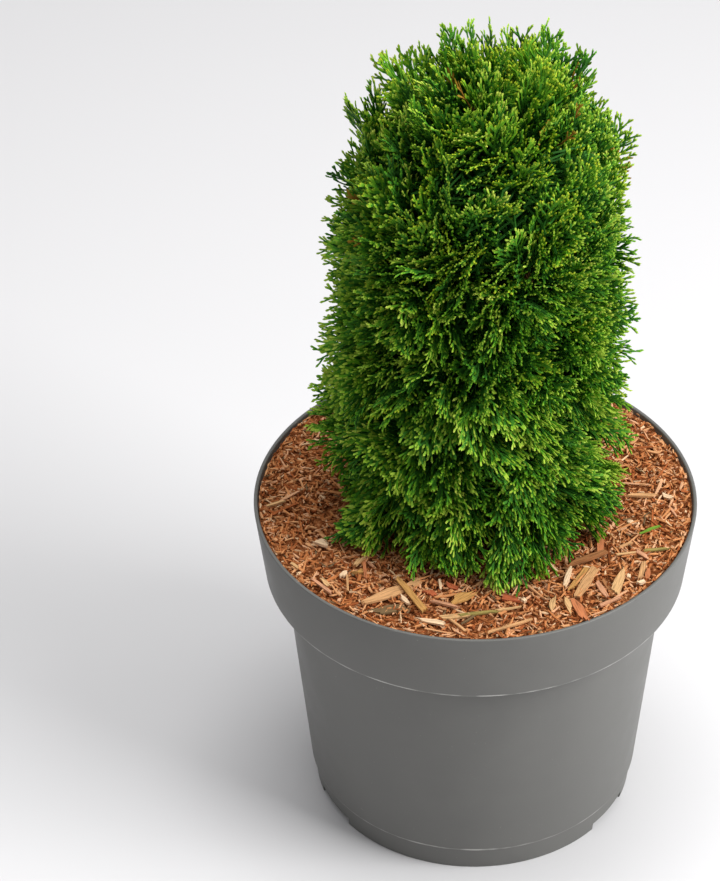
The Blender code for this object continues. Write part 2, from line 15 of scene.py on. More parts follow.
import bpy
import numpy as np
from mathutils import Matrix, Vector, noise

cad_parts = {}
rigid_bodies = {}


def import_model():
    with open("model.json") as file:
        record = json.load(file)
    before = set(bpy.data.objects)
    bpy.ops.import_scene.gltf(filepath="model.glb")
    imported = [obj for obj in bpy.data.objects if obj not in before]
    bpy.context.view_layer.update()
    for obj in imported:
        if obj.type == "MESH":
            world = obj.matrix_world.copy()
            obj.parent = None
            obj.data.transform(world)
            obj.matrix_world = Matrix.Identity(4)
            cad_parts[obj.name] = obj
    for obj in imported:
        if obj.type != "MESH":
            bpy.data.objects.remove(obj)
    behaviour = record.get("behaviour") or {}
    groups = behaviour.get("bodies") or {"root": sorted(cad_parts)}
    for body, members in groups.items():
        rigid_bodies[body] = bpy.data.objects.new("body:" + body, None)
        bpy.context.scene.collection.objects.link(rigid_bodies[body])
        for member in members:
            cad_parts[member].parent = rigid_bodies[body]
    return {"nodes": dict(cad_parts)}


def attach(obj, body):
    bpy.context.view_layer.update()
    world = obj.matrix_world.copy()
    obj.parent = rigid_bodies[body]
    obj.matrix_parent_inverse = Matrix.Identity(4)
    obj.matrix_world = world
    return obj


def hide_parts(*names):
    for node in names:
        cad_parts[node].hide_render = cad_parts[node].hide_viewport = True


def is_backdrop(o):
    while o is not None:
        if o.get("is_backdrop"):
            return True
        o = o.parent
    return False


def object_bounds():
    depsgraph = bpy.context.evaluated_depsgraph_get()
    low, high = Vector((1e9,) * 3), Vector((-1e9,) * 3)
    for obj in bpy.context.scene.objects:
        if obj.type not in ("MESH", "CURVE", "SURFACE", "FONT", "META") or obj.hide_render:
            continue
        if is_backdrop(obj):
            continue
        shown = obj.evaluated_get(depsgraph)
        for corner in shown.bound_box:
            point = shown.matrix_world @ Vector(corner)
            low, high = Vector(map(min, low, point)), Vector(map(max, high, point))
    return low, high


for startup in list(bpy.data.objects):
    bpy.data.objects.remove(startup)
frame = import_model()
cad_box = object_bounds()

BODY = "root"
MILLIMETRE = 0.001
UP = Vector((0, 0, 1))
GOLDEN_ANGLE = math.pi * (3 - math.sqrt(5))
LOG = logging.getLogger("arborvitae")

Colour = tuple[float, float, float]
Point = tuple[float, float]


# Small helpers for meshes and objects


def deselect_all() -> None:
    """Deselects every object, as operators act on all that is selected."""
    bpy.ops.object.select_all(action="DESELECT")


def select_only(*objects: bpy.types.Object) -> None:
    """Selects these objects alone and makes the first one active."""
    deselect_all()
    for obj in objects:
        obj.select_set(True)
    bpy.context.view_layer.objects.active = objects[0]


def new_object(name: str, data: bpy.types.ID) -> bpy.types.Object:
    """Makes an object from its data and links it to the scene.

    Args:
        name: The object's name.
        data: Its mesh, curve, light or camera data.

    Returns:
        The new object, at the origin.
    """
    obj = bpy.data.objects.new(name, data)
    bpy.context.scene.collection.objects.link(obj)
    return obj


def apply_place(obj: bpy.types.Object) -> None:
    """Moves the object's place, turn and size into its mesh."""
    select_only(obj)
    bpy.ops.object.transform_apply(location=True, rotation=True, scale=True)


def apply_modifiers(obj: bpy.types.Object) -> None:
    """Applies all the object's modifiers in order."""
    select_only(obj)
    for modifier in list(obj.modifiers):
        bpy.ops.object.modifier_apply(modifier=modifier.name)


def point_outwards(obj: bpy.types.Object) -> None:
    """Turns all faces of a closed mesh outwards."""
    select_only(obj)
    bpy.ops.object.mode_set(mode="EDIT")
    bpy.ops.mesh.select_all(action="SELECT")
    bpy.ops.mesh.normals_make_consistent(inside=False)
    bpy.ops.object.mode_set(mode="OBJECT")


def smooth(obj: bpy.types.Object, degrees: float) -> None:
    """Shades the object smooth, apart from edges sharper than the angle."""
    select_only(obj)
    bpy.ops.object.shade_smooth_by_angle(angle=math.radians(degrees))


def joined(pieces: Sequence[bpy.types.Object], name: str) -> bpy.types.Object:
    """Joins the pieces into one object and names it."""
    select_only(*pieces)
    bpy.ops.object.join()
    whole = bpy.context.object
    whole.name = name
    whole.data.name = name
    return whole


def dress(obj: bpy.types.Object, *materials: bpy.types.Material) -> None:
    """Gives the object these materials, in the order of its slots."""
    if obj.data.materials:
        obj.data.materials.clear()
    for material in materials:
        obj.data.materials.append(material)


def hand_over(piece: bpy.types.Object, slot: str, *nodes: str) -> None:
    """Makes a finished piece part of the model.

    Args:
        piece: The piece, at the origin with its place in its mesh.
        slot: The record's material slot for the piece's finish; this argument is not used.
        nodes: The CAD nodes that it stands for.
    """
    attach(piece, BODY)
    if nodes:
        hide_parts(*nodes)
    LOG.info("%s: %d faces", piece.name, len(piece.data.polygons))


# Finishes


class Sketch:
    """A node-based material while its nodes are laid out and linked."""

    def __init__(self, name: str, roughness: float, shine: float = 0.5) -> None:
        """Starts with a plain Principled shader.

        Args:
            name: The material's name.
            roughness: How rough the surface is all over.
            shine: How much light the surface mirrors, where 0.5 is common.
        """
        self.material = bpy.data.materials.new(name)
        self.material.use_nodes = True
        self.tree = self.material.node_tree
        self.shader = self.tree.nodes["Principled BSDF"]
        self.shader.inputs["Roughness"].default_value = roughness
        self.shader.inputs["Specular IOR Level"].default_value = shine
        self.coordinates = self.tree.nodes.new("ShaderNodeTexCoord")

    def link(self, socket: bpy.types.NodeSocket, name: str) -> None:
        """Links a value to one of the shader's inputs."""
        self.tree.links.new(socket, self.shader.inputs[name])

    def place(self, scale: Sequence[float], source: str = "Object") -> bpy.types.NodeSocket:
        """Returns the surface's coordinates, scaled along each axis."""
        mapping = self.tree.nodes.new("ShaderNodeMapping")
        mapping.inputs["Scale"].default_value = scale
        self.tree.links.new(self.coordinates.outputs[source], mapping.inputs["Vector"])
        return mapping.outputs["Vector"]

    def noise(
        self, place: bpy.types.NodeSocket, scale: float, detail: float = 3
    ) -> bpy.types.NodeSocket:
        """Returns a cloudy value from 0 to 1 at this place."""
        texture = self.tree.nodes.new("ShaderNodeTexNoise")
        texture.inputs["Scale"].default_value = scale
        texture.inputs["Detail"].default_value = detail
        self.tree.links.new(place, texture.inputs["Vector"])
        return texture.outputs["Fac"]

    def ramp(
        self, value: bpy.types.NodeSocket, stops: Sequence[tuple[float, Colour]]
    ) -> bpy.types.NodeSocket:
        """Returns the colour that the stops give for a value."""
        node = self.tree.nodes.new("ShaderNodeValToRGB")
        elements = node.color_ramp.elements
        while len(elements) < len(stops):
            elements.new(0.5)
        for element, (at, colour) in zip(elements, stops):
            element.position = at
            element.color = (*colour, 1)
        self.tree.links.new(value, node.inputs["Fac"])
        return node.outputs["Color"]

    def between(
        self, value: bpy.types.NodeSocket, start: float, end: float, low: float, high: float
    ) -> bpy.types.NodeSocket:
        """Returns low to high as the value goes from start to end."""
        node = self.tree.nodes.new("ShaderNodeMapRange")
        for name, number in zip(
            ("From Min", "From Max", "To Min", "To Max"), (start, end, low, high)
        ):
            node.inputs[name].default_value = number
        self.tree.links.new(value, node.inputs["Value"])
        return node.outputs["Result"]

    def reckon(
        self, operation: str, first: bpy.types.NodeSocket, second: bpy.types.NodeSocket | float
    ) -> bpy.types.NodeSocket:
        """Returns the result of one sum on a value and a value or number."""
        node = self.tree.nodes.new("ShaderNodeMath")
        node.operation = operation
        self.tree.links.new(first, node.inputs[0])
        if isinstance(second, bpy.types.NodeSocket):
            self.tree.links.new(second, node.inputs[1])
        else:
            node.inputs[1].default_value = second
        return node.outputs["Value"]

    def blend(
        self,
        share: bpy.types.NodeSocket,
        first: bpy.types.NodeSocket,
        second: bpy.types.NodeSocket | Colour,
        how: str = "MIX",
    ) -> bpy.types.NodeSocket:
        """Returns one colour laid over another.

        Args:
            share: How much of the second colour shows, from 0 to 1.
            first: The colour below.
            second: The colour above, linked or plain.
            how: The name of Blender's blend type.

        Returns:
            The blended colour.
        """
        node = self.tree.nodes.new("ShaderNodeMix")
        node.data_type = "RGBA"
        node.blend_type = how
        self.tree.links.new(share, node.inputs["Factor"])
        self.tree.links.new(first, node.inputs["A"])
        if isinstance(second, bpy.types.NodeSocket):
            self.tree.links.new(second, node.inputs["B"])
        else:
            node.inputs["B"].default_value = (*second, 1)
        return node.outputs["Result"]

    def height(self) -> bpy.types.NodeSocket:
        """Returns the height of the surface above the floor."""
        node = self.tree.nodes.new("ShaderNodeSeparateXYZ")
        self.tree.links.new(self.coordinates.outputs["Object"], node.inputs["Vector"])
        return node.outputs["Z"]

    def bump(self, value: bpy.types.NodeSocket, strength: float, depth: float) -> None:
        """Raises and lowers the surface a little by a value."""
        node = self.tree.nodes.new("ShaderNodeBump")
        node.inputs["Strength"].default_value = strength
        node.inputs["Distance"].default_value = depth
        self.tree.links.new(value, node.inputs["Height"])
        self.tree.links.new(node.outputs["Normal"], self.shader.inputs["Normal"])


def shaded(colour: Colour, factor: float) -> Colour:
    """Returns a colour made darker or lighter by a factor."""
    return tuple(min(1, channel * factor) for channel in colour)


@dataclass(frozen=True)
class PotPlastic:
    """Moulded grey plastic: satin, faintly mottled and dusty, with a lighter, broken line painted along its moulded
    edges.
    """

    colour: Colour = (0.131, 0.130, 0.122)
    dust: Colour = (0.36, 0.34, 0.31)
    edge_line: Colour = (0.60, 0.59, 0.56)
    roughness: Point = (0.42, 0.56)
    shine: float = 0.34

    def material(self, edges: Sequence[float]) -> bpy.types.Material:
        """Makes the finish.

        Args:
            edges: The heights of the moulded edges that get the lighter, broken line.

        Returns:
            The pot's material.
        """
        sketch = Sketch("pot_plastic_finish", self.roughness[0], self.shine)
        place = sketch.place((1, 1, 1))
        cloud = sketch.noise(place, 34, 4)
        tint = sketch.ramp(
            cloud, ((0.30, shaded(self.colour, 0.93)), (0.70, shaded(self.colour, 1.06)))
        )
        specks = sketch.between(sketch.noise(place, 900, 1), 0.76, 0.82, 0, 0.35)
        tint = sketch.blend(specks, tint, self.dust)
        broken = sketch.between(sketch.noise(place, 75, 2), 0.40, 0.68, 0.10, 1.0)
        # A lighter, broken line is painted along each moulded edge.
        for edge in edges:
            near = sketch.reckon("ABSOLUTE", sketch.reckon("SUBTRACT", sketch.height(), edge), 0)
            line = sketch.between(near, 0.0005, 0.0014, 1, 0)
            tint = sketch.blend(sketch.reckon("MULTIPLY", line, broken), tint, self.edge_line)
        sketch.link(tint, "Base Color")
        sketch.link(sketch.between(cloud, 0.3, 0.7, *self.roughness), "Roughness")
        sketch.bump(sketch.noise(place, 1500, 2), 0.25, 0.0001)
        return sketch.material


@dataclass(frozen=True)
class Earth:
    """Damp, crumbly potting soil."""

    dark: Colour = (0.018, 0.011, 0.007)
    light: Colour = (0.075, 0.047, 0.030)

    def material(self) -> bpy.types.Material:
        """Makes the finish."""
        sketch = Sketch("soil_finish", 0.9, 0.1)
        crumbs = sketch.noise(sketch.place((1, 1, 1)), 420, 6)
        sketch.link(sketch.ramp(crumbs, ((0.35, self.dark), (0.68, self.light))), "Base Color")
        sketch.bump(crumbs, 0.8, 0.0015)
        return sketch.material


@dataclass(frozen=True)
class MulchBedding:
    """The shreds and crumbs between the chips, darker on the whole than the loose shreds: partly their own tone, partly
    painted shade in the gaps where the bed shows.
    """

    dark: Colour = (0.085, 0.022, 0.006)
    middle: Colour = (0.31, 0.102, 0.034)
    light: Colour = (0.55, 0.25, 0.11)

    def material(self) -> bpy.types.Material:
        """Makes the finish."""
        sketch = Sketch("mulch_finish", 0.88, 0)
        place = sketch.place((1, 1, 0.4))
        shreds = sketch.noise(place, 520, 5)
        # The dark stop is partly painted shade for the gaps between the shreds.
        stops = ((0.34, self.dark), (0.52, self.middle), (0.70, self.light))
        sketch.link(sketch.ramp(shreds, stops), "Base Color")
        sketch.bump(shreds, 0.9, 0.0012)
        return sketch.material


@dataclass(frozen=True)
class Bark:
    """Thin red-brown bark that frays in upright strips."""

    dark: Colour = (0.055, 0.026, 0.014)
    light: Colour = (0.270, 0.145, 0.080)

    def material(self) -> bpy.types.Material:
        """Makes the finish."""
        sketch = Sketch("bark_finish", 0.86, 0.1)
        strips = sketch.noise(sketch.place((1, 1, 0.09)), 900, 5)
        sketch.link(sketch.ramp(strips, ((0.34, self.dark), (0.66, self.light))), "Base Color")
        sketch.bump(strips, 0.7, 0.0006)
        return sketch.material


@dataclass(frozen=True)
class SplitWood:
    """A split face of wood, with its grain along the chip."""

    name: str
    colour: Colour

    def material(self) -> bpy.types.Material:
        """Makes the finish, which reads the chip's own UV map."""
        sketch = Sketch(self.name + "_grain", 0.78, 0.15)
        grain = sketch.noise(sketch.place((1500, 110, 1), "UV"), 1, 4)
        stops = (
            (0.30, shaded(self.colour, 0.48)),
            (0.50, self.colour),
            (0.74, shaded(self.colour, 1.22)),
        )
        sketch.link(sketch.ramp(grain, stops), "Base Color")
        sketch.bump(grain, 0.6, 0.0004)
        return sketch.material


@dataclass(frozen=True)
class PlainTone:
    """One plain tone of a small thing that is copied many times."""

    name: str
    colour: Colour
    roughness: float
    shine: float = 0.5

    def material(self) -> bpy.types.Material:
        """Makes the finish, with its colour set on the shader itself."""
        sketch = Sketch(self.name, self.roughness, self.shine)
        sketch.shader.inputs["Base Color"].default_value = (*self.colour, 1)
        return sketch.material


class Leaf(Enum):
    """The greens of the foliage, from buried stems to fresh tips."""

    STEM = PlainTone("leaf_stem", (0.045, 0.064, 0.010), 0.75, 0.15)
    DEEP = PlainTone("leaf_deep", (0.0190, 0.090, 0.009), 0.66, 0.10)
    MIDDLE = PlainTone("leaf_middle", (0.0415, 0.170, 0.012), 0.62, 0.15)
    FRESH = PlainTone("leaf_fresh", (0.094, 0.266, 0.010), 0.60, 0.18)
    TIP_GREEN = PlainTone("leaf_tip_green", (0.190, 0.362, 0.018), 0.57, 0.20)
    TIP_LIME = PlainTone("leaf_tip_lime", (0.312, 0.462, 0.040), 0.56, 0.22)
    TIP_PALE = PlainTone("leaf_tip_pale", (0.440, 0.520, 0.070), 0.56, 0.24)
    TIP_GOLD = PlainTone("leaf_tip_gold", (0.350, 0.435, 0.018), 0.58, 0.18)
    BRONZE = PlainTone("leaf_bronze", (0.260, 0.150, 0.012), 0.6, 0.2)
    RUST = PlainTone("leaf_rust", (0.200, 0.100, 0.014), 0.7, 0.1)


class Shred(Enum):
    """The tones of the small shreds of wood and bark."""

    DARK = PlainTone("shred_dark", (0.148, 0.042, 0.013), 0.9, 0)
    RED = PlainTone("shred_red", (0.330, 0.098, 0.032), 0.9, 0)
    RUST = PlainTone("shred_rust", (0.450, 0.160, 0.054), 0.9, 0)
    ORANGE = PlainTone("shred_orange", (0.560, 0.240, 0.092), 0.88, 0.05)
    TAN = PlainTone("shred_tan", (0.600, 0.300, 0.135), 0.86, 0.1)
    PINK = PlainTone("shred_pink", (0.640, 0.345, 0.185), 0.86, 0.1)
    PALE = PlainTone("shred_pale", (0.700, 0.465, 0.270), 0.84, 0.1)
    GREY = PlainTone("shred_grey", (0.170, 0.110, 0.055), 0.9, 0.1)


class Wood(Enum):
    """The woods of the large chips."""

    TAN = SplitWood("chip_tan", (0.560, 0.300, 0.132))
    OCHRE = SplitWood("chip_ochre", (0.490, 0.255, 0.078))
    STRAW = SplitWood("chip_straw", (0.590, 0.350, 0.158))
    ORANGE = SplitWood("chip_orange", (0.480, 0.168, 0.068))
    RED = SplitWood("chip_red", (0.430, 0.108, 0.042))
    PINK = SplitWood("chip_pink", (0.560, 0.275, 0.152))
    PALE = SplitWood("chip_pale", (0.760, 0.535, 0.335))
    BROWN = SplitWood("chip_brown", (0.320, 0.133, 0.050))
    OLIVE = SplitWood("chip_olive", (0.157, 0.097, 0.044))
    OLIVE_GREEN = SplitWood("blade_olive", (0.290, 0.225, 0.065))
    GREEN = SplitWood("blade_green", (0.160, 0.300, 0.030))


# Many small things as joined meshes


class Pattern:
    """A small mesh that is copied many times, with a role for each face."""

    def __init__(self) -> None:
        """Starts empty."""
        self.points: list[tuple[float, float, float]] = []
        self.faces: list[tuple[int, ...]] = []
        self.roles: list[int] = []

    def ring(self, points: Sequence[Vector]) -> list[int]:
        """Adds a ring of points and returns their numbers."""
        first = len(self.points)
        self.points.extend(tuple(point) for point in points)
        return list(range(first, first + len(points)))

    def band(self, near: Sequence[int], far: Sequence[int], role: int) -> None:
        """Joins two rings with a band of four-sided faces."""
        count = len(near)
        for index in range(count):
            after = (index + 1) % count
            self.faces.append((near[index], near[after], far[after], far[index]))
            self.roles.append(role)

    def tip(self, ring: Sequence[int], point: Vector, role: int) -> None:
        """Closes a ring with a point."""
        end = self.ring([point])[0]
        for index, number in enumerate(ring):
            self.faces.append((number, ring[(index + 1) % len(ring)], end))
            self.roles.append(role)

    def freeze(self) -> "FrozenPattern":
        """Returns the pattern as arrays."""
        points = np.array(self.points, float)
        corners = np.array([corner for face in self.faces for corner in face], np.int64)
        sizes = np.array([len(face) for face in self.faces], np.int64)
        along = points[:, 1] / points[:, 1].max()
        return FrozenPattern(points, corners, sizes, np.array(self.roles), along)


@dataclass(frozen=True)
class FrozenPattern:
    """A pattern's points, its faces' corners and sizes, their roles, and how far along points are."""

    points: np.ndarray
    corners: np.ndarray
    sizes: np.ndarray
    roles: np.ndarray
    along: np.ndarray


class Heap:
    """Copies of patterns, gathered into one mesh."""

    def __init__(self) -> None:
        """Starts empty."""
        self.points: list[np.ndarray] = []
        self.corners: list[np.ndarray] = []
        self.sizes: list[np.ndarray] = []
        self.slots: list[np.ndarray] = []
        self.count = 0

    def add(self, pattern: FrozenPattern, points: np.ndarray, slots: Sequence[int]) -> None:
        """Adds one copy.

        Args:
            pattern: The pattern that is copied.
            points: The copy's points in their place.
            slots: The material slot for each of the pattern's roles.
        """
        self.points.append(points)
        self.corners.append(pattern.corners + self.count)
        self.sizes.append(pattern.sizes)
        self.slots.append(np.array(slots)[pattern.roles])
        self.count += len(points)

    def to_object(self, name: str, round_shading: bool) -> bpy.types.Object:
        """Makes one object of all the copies.

        Args:
            name: The object's name.
            round_shading: Whether the faces are shaded smooth.

        Returns:
            The new object.
        """
        points = np.concatenate(self.points)
        corners = np.concatenate(self.corners)
        sizes = np.concatenate(self.sizes)
        mesh = bpy.data.meshes.new(name)
        mesh.vertices.add(len(points))
        mesh.vertices.foreach_set("co", points.ravel())
        mesh.loops.add(len(corners))
        mesh.loops.foreach_set("vertex_index", corners)
        mesh.polygons.add(len(sizes))
        mesh.polygons.foreach_set("loop_start", np.cumsum(sizes) - sizes)
        mesh.polygons.foreach_set("loop_total", sizes)
        mesh.polygons.foreach_set("material_index", np.concatenate(self.slots))
        mesh.polygons.foreach_set("use_smooth", np.full(len(sizes), round_shading))
        mesh.update(calc_edges=True)
        return new_object(name, mesh)


# The pot


@dataclass(frozen=True)
class Corner:
    """One corner of a turned outline: its radius, its height and how far it is rounded."""

    radius: float
    height: float
    rounding: float = 0.0


def rounded(corners: Sequence[Corner], steps: int) -> list[Point]:
    """Rounds the corners of an outline.

    Args:
        corners: The outline's corners in order.
        steps: How many short edges each rounded corner gets.

    Returns:
        The points of the outline as (radius, height).
    """
    outline: list[Point] = []
    for index, corner in enumerate(corners):
        here = Vector((corner.radius, corner.height))
        if not corner.rounding:
            outline.append((here.x, here.y))
            continue
        before = corners[index - 1]
        after = corners[index + 1]
        start = here + (Vector((before.radius, before.height)) - here).normalized() * corner.rounding
        end = here + (Vector((after.radius, after.height)) - here).normalized() * corner.rounding
        for step in range(steps + 1):
            share = step / steps
            point = bezier(start, here, end, share)
            outline.append((point.x, point.y))
    return outline


def bezier(start: Vector, middle: Vector, end: Vector, share: float) -> Vector:
    """Returns a point of the curve with these three control points."""
    return start * (1 - share) ** 2 + middle * 2 * share * (1 - share) + end * share**2


@dataclass(frozen=True)
class NurseryPot:
    """The round plastic container: a tapered body under a deep, wider rim band."""

    sides: int = 160
    rim_radius: float = 0.1157
    rim_height: float = 0.1859
    band_radius: float = 0.1106
    band_bottom: float = 0.1440
    body_radius: float = 0.1007
    crease_radius: float = 0.0885
    crease_height: float = 0.0142
    crease_round: float = 0.0012
    foot_radius: float = 0.0870
    foot_width: float = 0.0060
    wall: float = 0.0020
    base_underside: float = 0.0055
    base_top: float = 0.0080
    base_middle: float = 0.0300
    notch_count: int = 3
    notch_first: float = math.radians(-33)
    notch_width: float = 0.0300
    notch_height: float = 0.0048
    hole_count: int = 5
    hole_radius: float = 0.0060
    hole_circle: float = 0.0550

    def wall_radius(self, height: float) -> float:
        """Returns the radius of the inner wall at this height of the band."""
        share = (height - self.band_bottom) / (self.rim_height - self.band_bottom)
        return self.band_radius + (self.rim_radius - self.band_radius) * share - self.wall

    def outline(self) -> list[Point]:
        """Returns the outline from the underside, up the outer wall and down the inner one."""
        step = self.band_bottom + self.wall
        inner_foot = self.foot_radius - self.foot_width
        lip = self.wall * 0.45
        corners = (
            Corner(inner_foot, self.base_underside, 0.0004),
            Corner(inner_foot, 0, 0.0005),
            Corner(self.foot_radius - self.crease_round, 0, 0.0008),
            Corner(self.crease_radius - self.crease_round, self.crease_height, 0.0006),
            Corner(self.crease_radius, self.crease_height + self.crease_round, 0.0007),
            Corner(self.body_radius, self.band_bottom, 0.0012),
            Corner(self.band_radius, self.band_bottom, 0.0009),
            Corner(self.rim_radius, self.rim_height, lip),
            Corner(self.rim_radius - self.wall, self.rim_height, lip),
            Corner(self.wall_radius(step), step, 0.0012),
            Corner(self.body_radius - self.wall, step, 0.0009),
            Corner(self.crease_radius - self.wall, self.crease_height, 0.0010),
            Corner(self.foot_radius - self.wall, self.base_top, 0.0015),
            Corner(self.base_middle, self.base_top),
        )
        return rounded(corners, 4)

    def turned_shell(self) -> bpy.types.Object:
        """Turns the pot: a disc under the base, extruded and resized along the outline."""
        deselect_all()
        bpy.ops.mesh.primitive_circle_add(
            vertices=self.sides,
            radius=self.base_middle,
            fill_type="NGON",
            location=(0, 0, self.base_underside),
        )
        shell = bpy.context.object
        bpy.ops.object.mode_set(mode="EDIT")
        bpy.ops.mesh.select_all(action="SELECT")
        radius, height = self.base_middle, self.base_underside
        for next_radius, next_height in self.outline():
            bpy.ops.mesh.extrude_region_move(
                TRANSFORM_OT_translate={"value": (0, 0, next_height - height)}
            )
            size = next_radius / radius
            bpy.ops.transform.resize(value=(size, size, 1), center_override=(0, 0, next_height))
            radius, height = next_radius, next_height
        bpy.ops.object.mode_set(mode="OBJECT")
        apply_place(shell)
        point_outwards(shell)
        return shell

    def cut_openings(self, shell: bpy.types.Object) -> None:
        """Cuts the notches in the foot ring and the drain holes in the base."""
        cutters = []
        middle = self.foot_radius - self.foot_width / 2
        for index in range(self.notch_count):
            around = self.notch_first + 2 * math.pi * index / self.notch_count
            bpy.ops.mesh.primitive_cube_add(
                size=1,
                location=(middle * math.cos(around), middle * math.sin(around), 0),
                rotation=(0, 0, around),
                scale=(self.foot_width * 1.6, self.notch_width, 2 * self.notch_height),
            )
            cutters.append(bpy.context.object)
        for index in range(self.hole_count):
            around = 2 * math.pi * index / self.hole_count
            bpy.ops.mesh.primitive_cylinder_add(
                vertices=24,
                radius=self.hole_radius,
                depth=self.base_top,
                location=(
                    self.hole_circle * math.cos(around),
                    self.hole_circle * math.sin(around),
                    (self.base_underside + self.base_top) / 2,
                ),
            )
            cutters.append(bpy.context.object)
        cutter = joined(cutters, "openings")
        apply_place(cutter)
        difference = shell.modifiers.new("Openings", "BOOLEAN")
        difference.operation = "DIFFERENCE"
        difference.object = cutter
        difference.solver = "EXACT"
        apply_modifiers(shell)
        bpy.data.objects.remove(cutter)

    def build(self) -> bpy.types.Object:
        """Builds the pot and dresses it."""
        shell = self.turned_shell()
        self.cut_openings(shell)
        shell.name = "pot_shell"
        smooth(shell, 35)
        edges = (self.band_bottom, self.crease_height + self.crease_round / 2)
        dress(shell, PotPlastic().material(edges))
        hand_over(shell, "pot_plastic", "pot")
        return shell


# The mulch and its chips


@dataclass(frozen=True)
class MulchBed:
    """The bumpy layer of shredded wood, open round the trunk."""

    pot: NurseryPot
    bottom: float = 0.1723
    edge: float = 0.1833
    middle: float = 0.1828
    bump: float = 0.0012
    bump_size: float = 0.018
    side_gap: float = 0.0004
    hole_radius: float = 0.0134
    sides: int = 200
    rings: int = 56
    sink: float = 0.0005
    roughness: float = 0.0007

    def height(self, x: float, y: float) -> float:
        """Returns the height of the mulch's surface, as in the CAD node."""
        share = min(1, math.hypot(x, y) / self.pot.rim_radius)
        base = self.middle + (self.edge - self.middle) * share**2
        return base + self.bump * noise.noise(Vector((x, y, 0)) / self.bump_size)

    def steps(self, foot: Vector) -> list[tuple[float, float, float, float]]:
        """Returns the rings that the bed is extruded along, from its underside's edge.

        Args:
            foot: Where the trunk's middle passes through the bed.

        Returns:
            The rings as (centre x, centre y, radius, height).
        """
        edge_radius = self.pot.wall_radius(self.edge) - self.side_gap
        rows = [(0.0, 0.0, edge_radius, self.edge)]
        for index in range(1, self.rings + 1):
            share = index / self.rings
            radius = edge_radius + (self.hole_radius - edge_radius) * share
            rows.append((foot.x * share, foot.y * share, radius, self.edge))
        rows.append((foot.x, foot.y, self.hole_radius, self.bottom))
        return rows

    def build(self, crown: "Crown") -> bpy.types.Object:
        """Builds the bed round the trunk and dresses it."""
        deselect_all()
        radius = self.pot.wall_radius(self.bottom) - self.side_gap
        bpy.ops.mesh.primitive_circle_add(
            vertices=self.sides, radius=radius, fill_type="NOTHING", location=(0, 0, self.bottom)
        )
        bed = bpy.context.object
        bpy.ops.object.mode_set(mode="EDIT")
        bpy.ops.mesh.select_all(action="SELECT")
        x, y, height = 0.0, 0.0, self.bottom
        for next_x, next_y, next_radius, next_height in self.steps(crown.axis(self.edge)):
            bpy.ops.mesh.extrude_region_move(
                TRANSFORM_OT_translate={"value": (next_x - x, next_y - y, next_height - height)}
            )
            size = next_radius / radius
            centre = (next_x, next_y, next_height)
            bpy.ops.transform.resize(value=(size, size, 1), center_override=centre)
            x, y, radius, height = next_x, next_y, next_radius, next_height
        bpy.ops.object.mode_set(mode="OBJECT")
        apply_place(bed)
        self.close(bed)
        self.roughen(bed)
        bed.name = "mulch_bed"
        point_outwards(bed)
        smooth(bed, 60)
        dress(bed, MulchBedding().material())
        hand_over(bed, "wood_chips", "mulch")
        return bed

    def close(self, bed: bpy.types.Object) -> None:
        """Closes the underside between the outer edge and the hole round the trunk."""
        select_only(bed)
        bpy.ops.object.mode_set(mode="EDIT")
        bpy.ops.mesh.select_all(action="DESELECT")
        bpy.ops.mesh.select_non_manifold(extend=False)
        bpy.ops.mesh.bridge_edge_loops()
        bpy.ops.object.mode_set(mode="OBJECT")

    def roughen(self, bed: bpy.types.Object) -> None:
        """Raises the top face to the mulch's surface, with small lumps of its own."""
        outer = self.pot.wall_radius(self.edge) - self.side_gap
        for vert in bed.data.vertices:
            if vert.co.z < (self.bottom + self.edge) / 2:
                continue
            inside = min(1, max(0, (outer - vert.co.xy.length) / MILLIMETRE))
            lumps = noise.noise(Vector((vert.co.x, vert.co.y, 1)) / 0.0035)
            level = self.height(vert.co.x, vert.co.y) - self.sink
            vert.co.z = level + lumps * self.roughness * inside


def torn_block(rng: random.Random, rows: Sequence[tuple[float, float]], bend: float) -> FrozenPattern:
    """Makes one small piece of wood, a unit long and wide, with torn corners.

    Args:
        rng: The source of its random numbers.
        rows: How far along each of its cross-sections is, and how wide.
        bend: How far its middle is lifted.

    Returns:
        The piece's pattern.
    """
    pattern = Pattern()
    rings = []
    for along, wide in rows:
        shift = rng.uniform(-0.2, 0.2)
        lift = bend * (0.25 - along * along) * 2
        left, right = along + rng.uniform(-0.14, 0.14), along + rng.uniform(-0.14, 0.14)
        top = wide * rng.uniform(0.6, 1.0)
        rings.append(
            pattern.ring(
                [
                    Vector((shift - wide / 2, left, lift - 0.5)),
                    Vector((shift + wide / 2, right, lift - 0.5)),
                    Vector((shift + top / 2, right, lift + rng.uniform(0.2, 0.5))),
                    Vector((shift - top / 2, left, lift + rng.uniform(0.2, 0.5))),
                ]
            )
        )
    for near, far in zip(rings, rings[1:]):
        pattern.band(near, far, 0)
    for ring in (rings[0][::-1], rings[-1]):
        pattern.faces.append(tuple(ring))
        pattern.roles.append(0)
    return pattern.freeze()


def crumb(seed: int) -> FrozenPattern:
    """Makes one crumb: a chunky block with uneven ends."""
    rng = random.Random(seed)
    return torn_block(rng, [(along, rng.uniform(0.4, 1.0)) for along in (-0.42, 0.42)], 0)


def shred(seed: int) -> FrozenPattern:
    """Makes one shred: a longer, bent piece that is widest in the middle."""
    rng = random.Random(seed)
    rows = (
        (-0.5, rng.uniform(0.2, 0.9)),
        (rng.uniform(-0.25, 0.2), 1.0),
        (0.5, rng.uniform(0.2, 0.9)),
    )
    return torn_block(rng, rows, rng.uniform(-0.9, 0.9))


@dataclass(frozen=True)
class ShredLayer:
    """One scatter of pieces: how many, how long, how wide for their length, and how they lie."""

    shape: Callable[[int], FrozenPattern]
    count: int
    lengths: Point
    slimness: Point
    thickness: Point
    lift: Point
    tilt: float
    tones: tuple[tuple[Shred, float], ...]


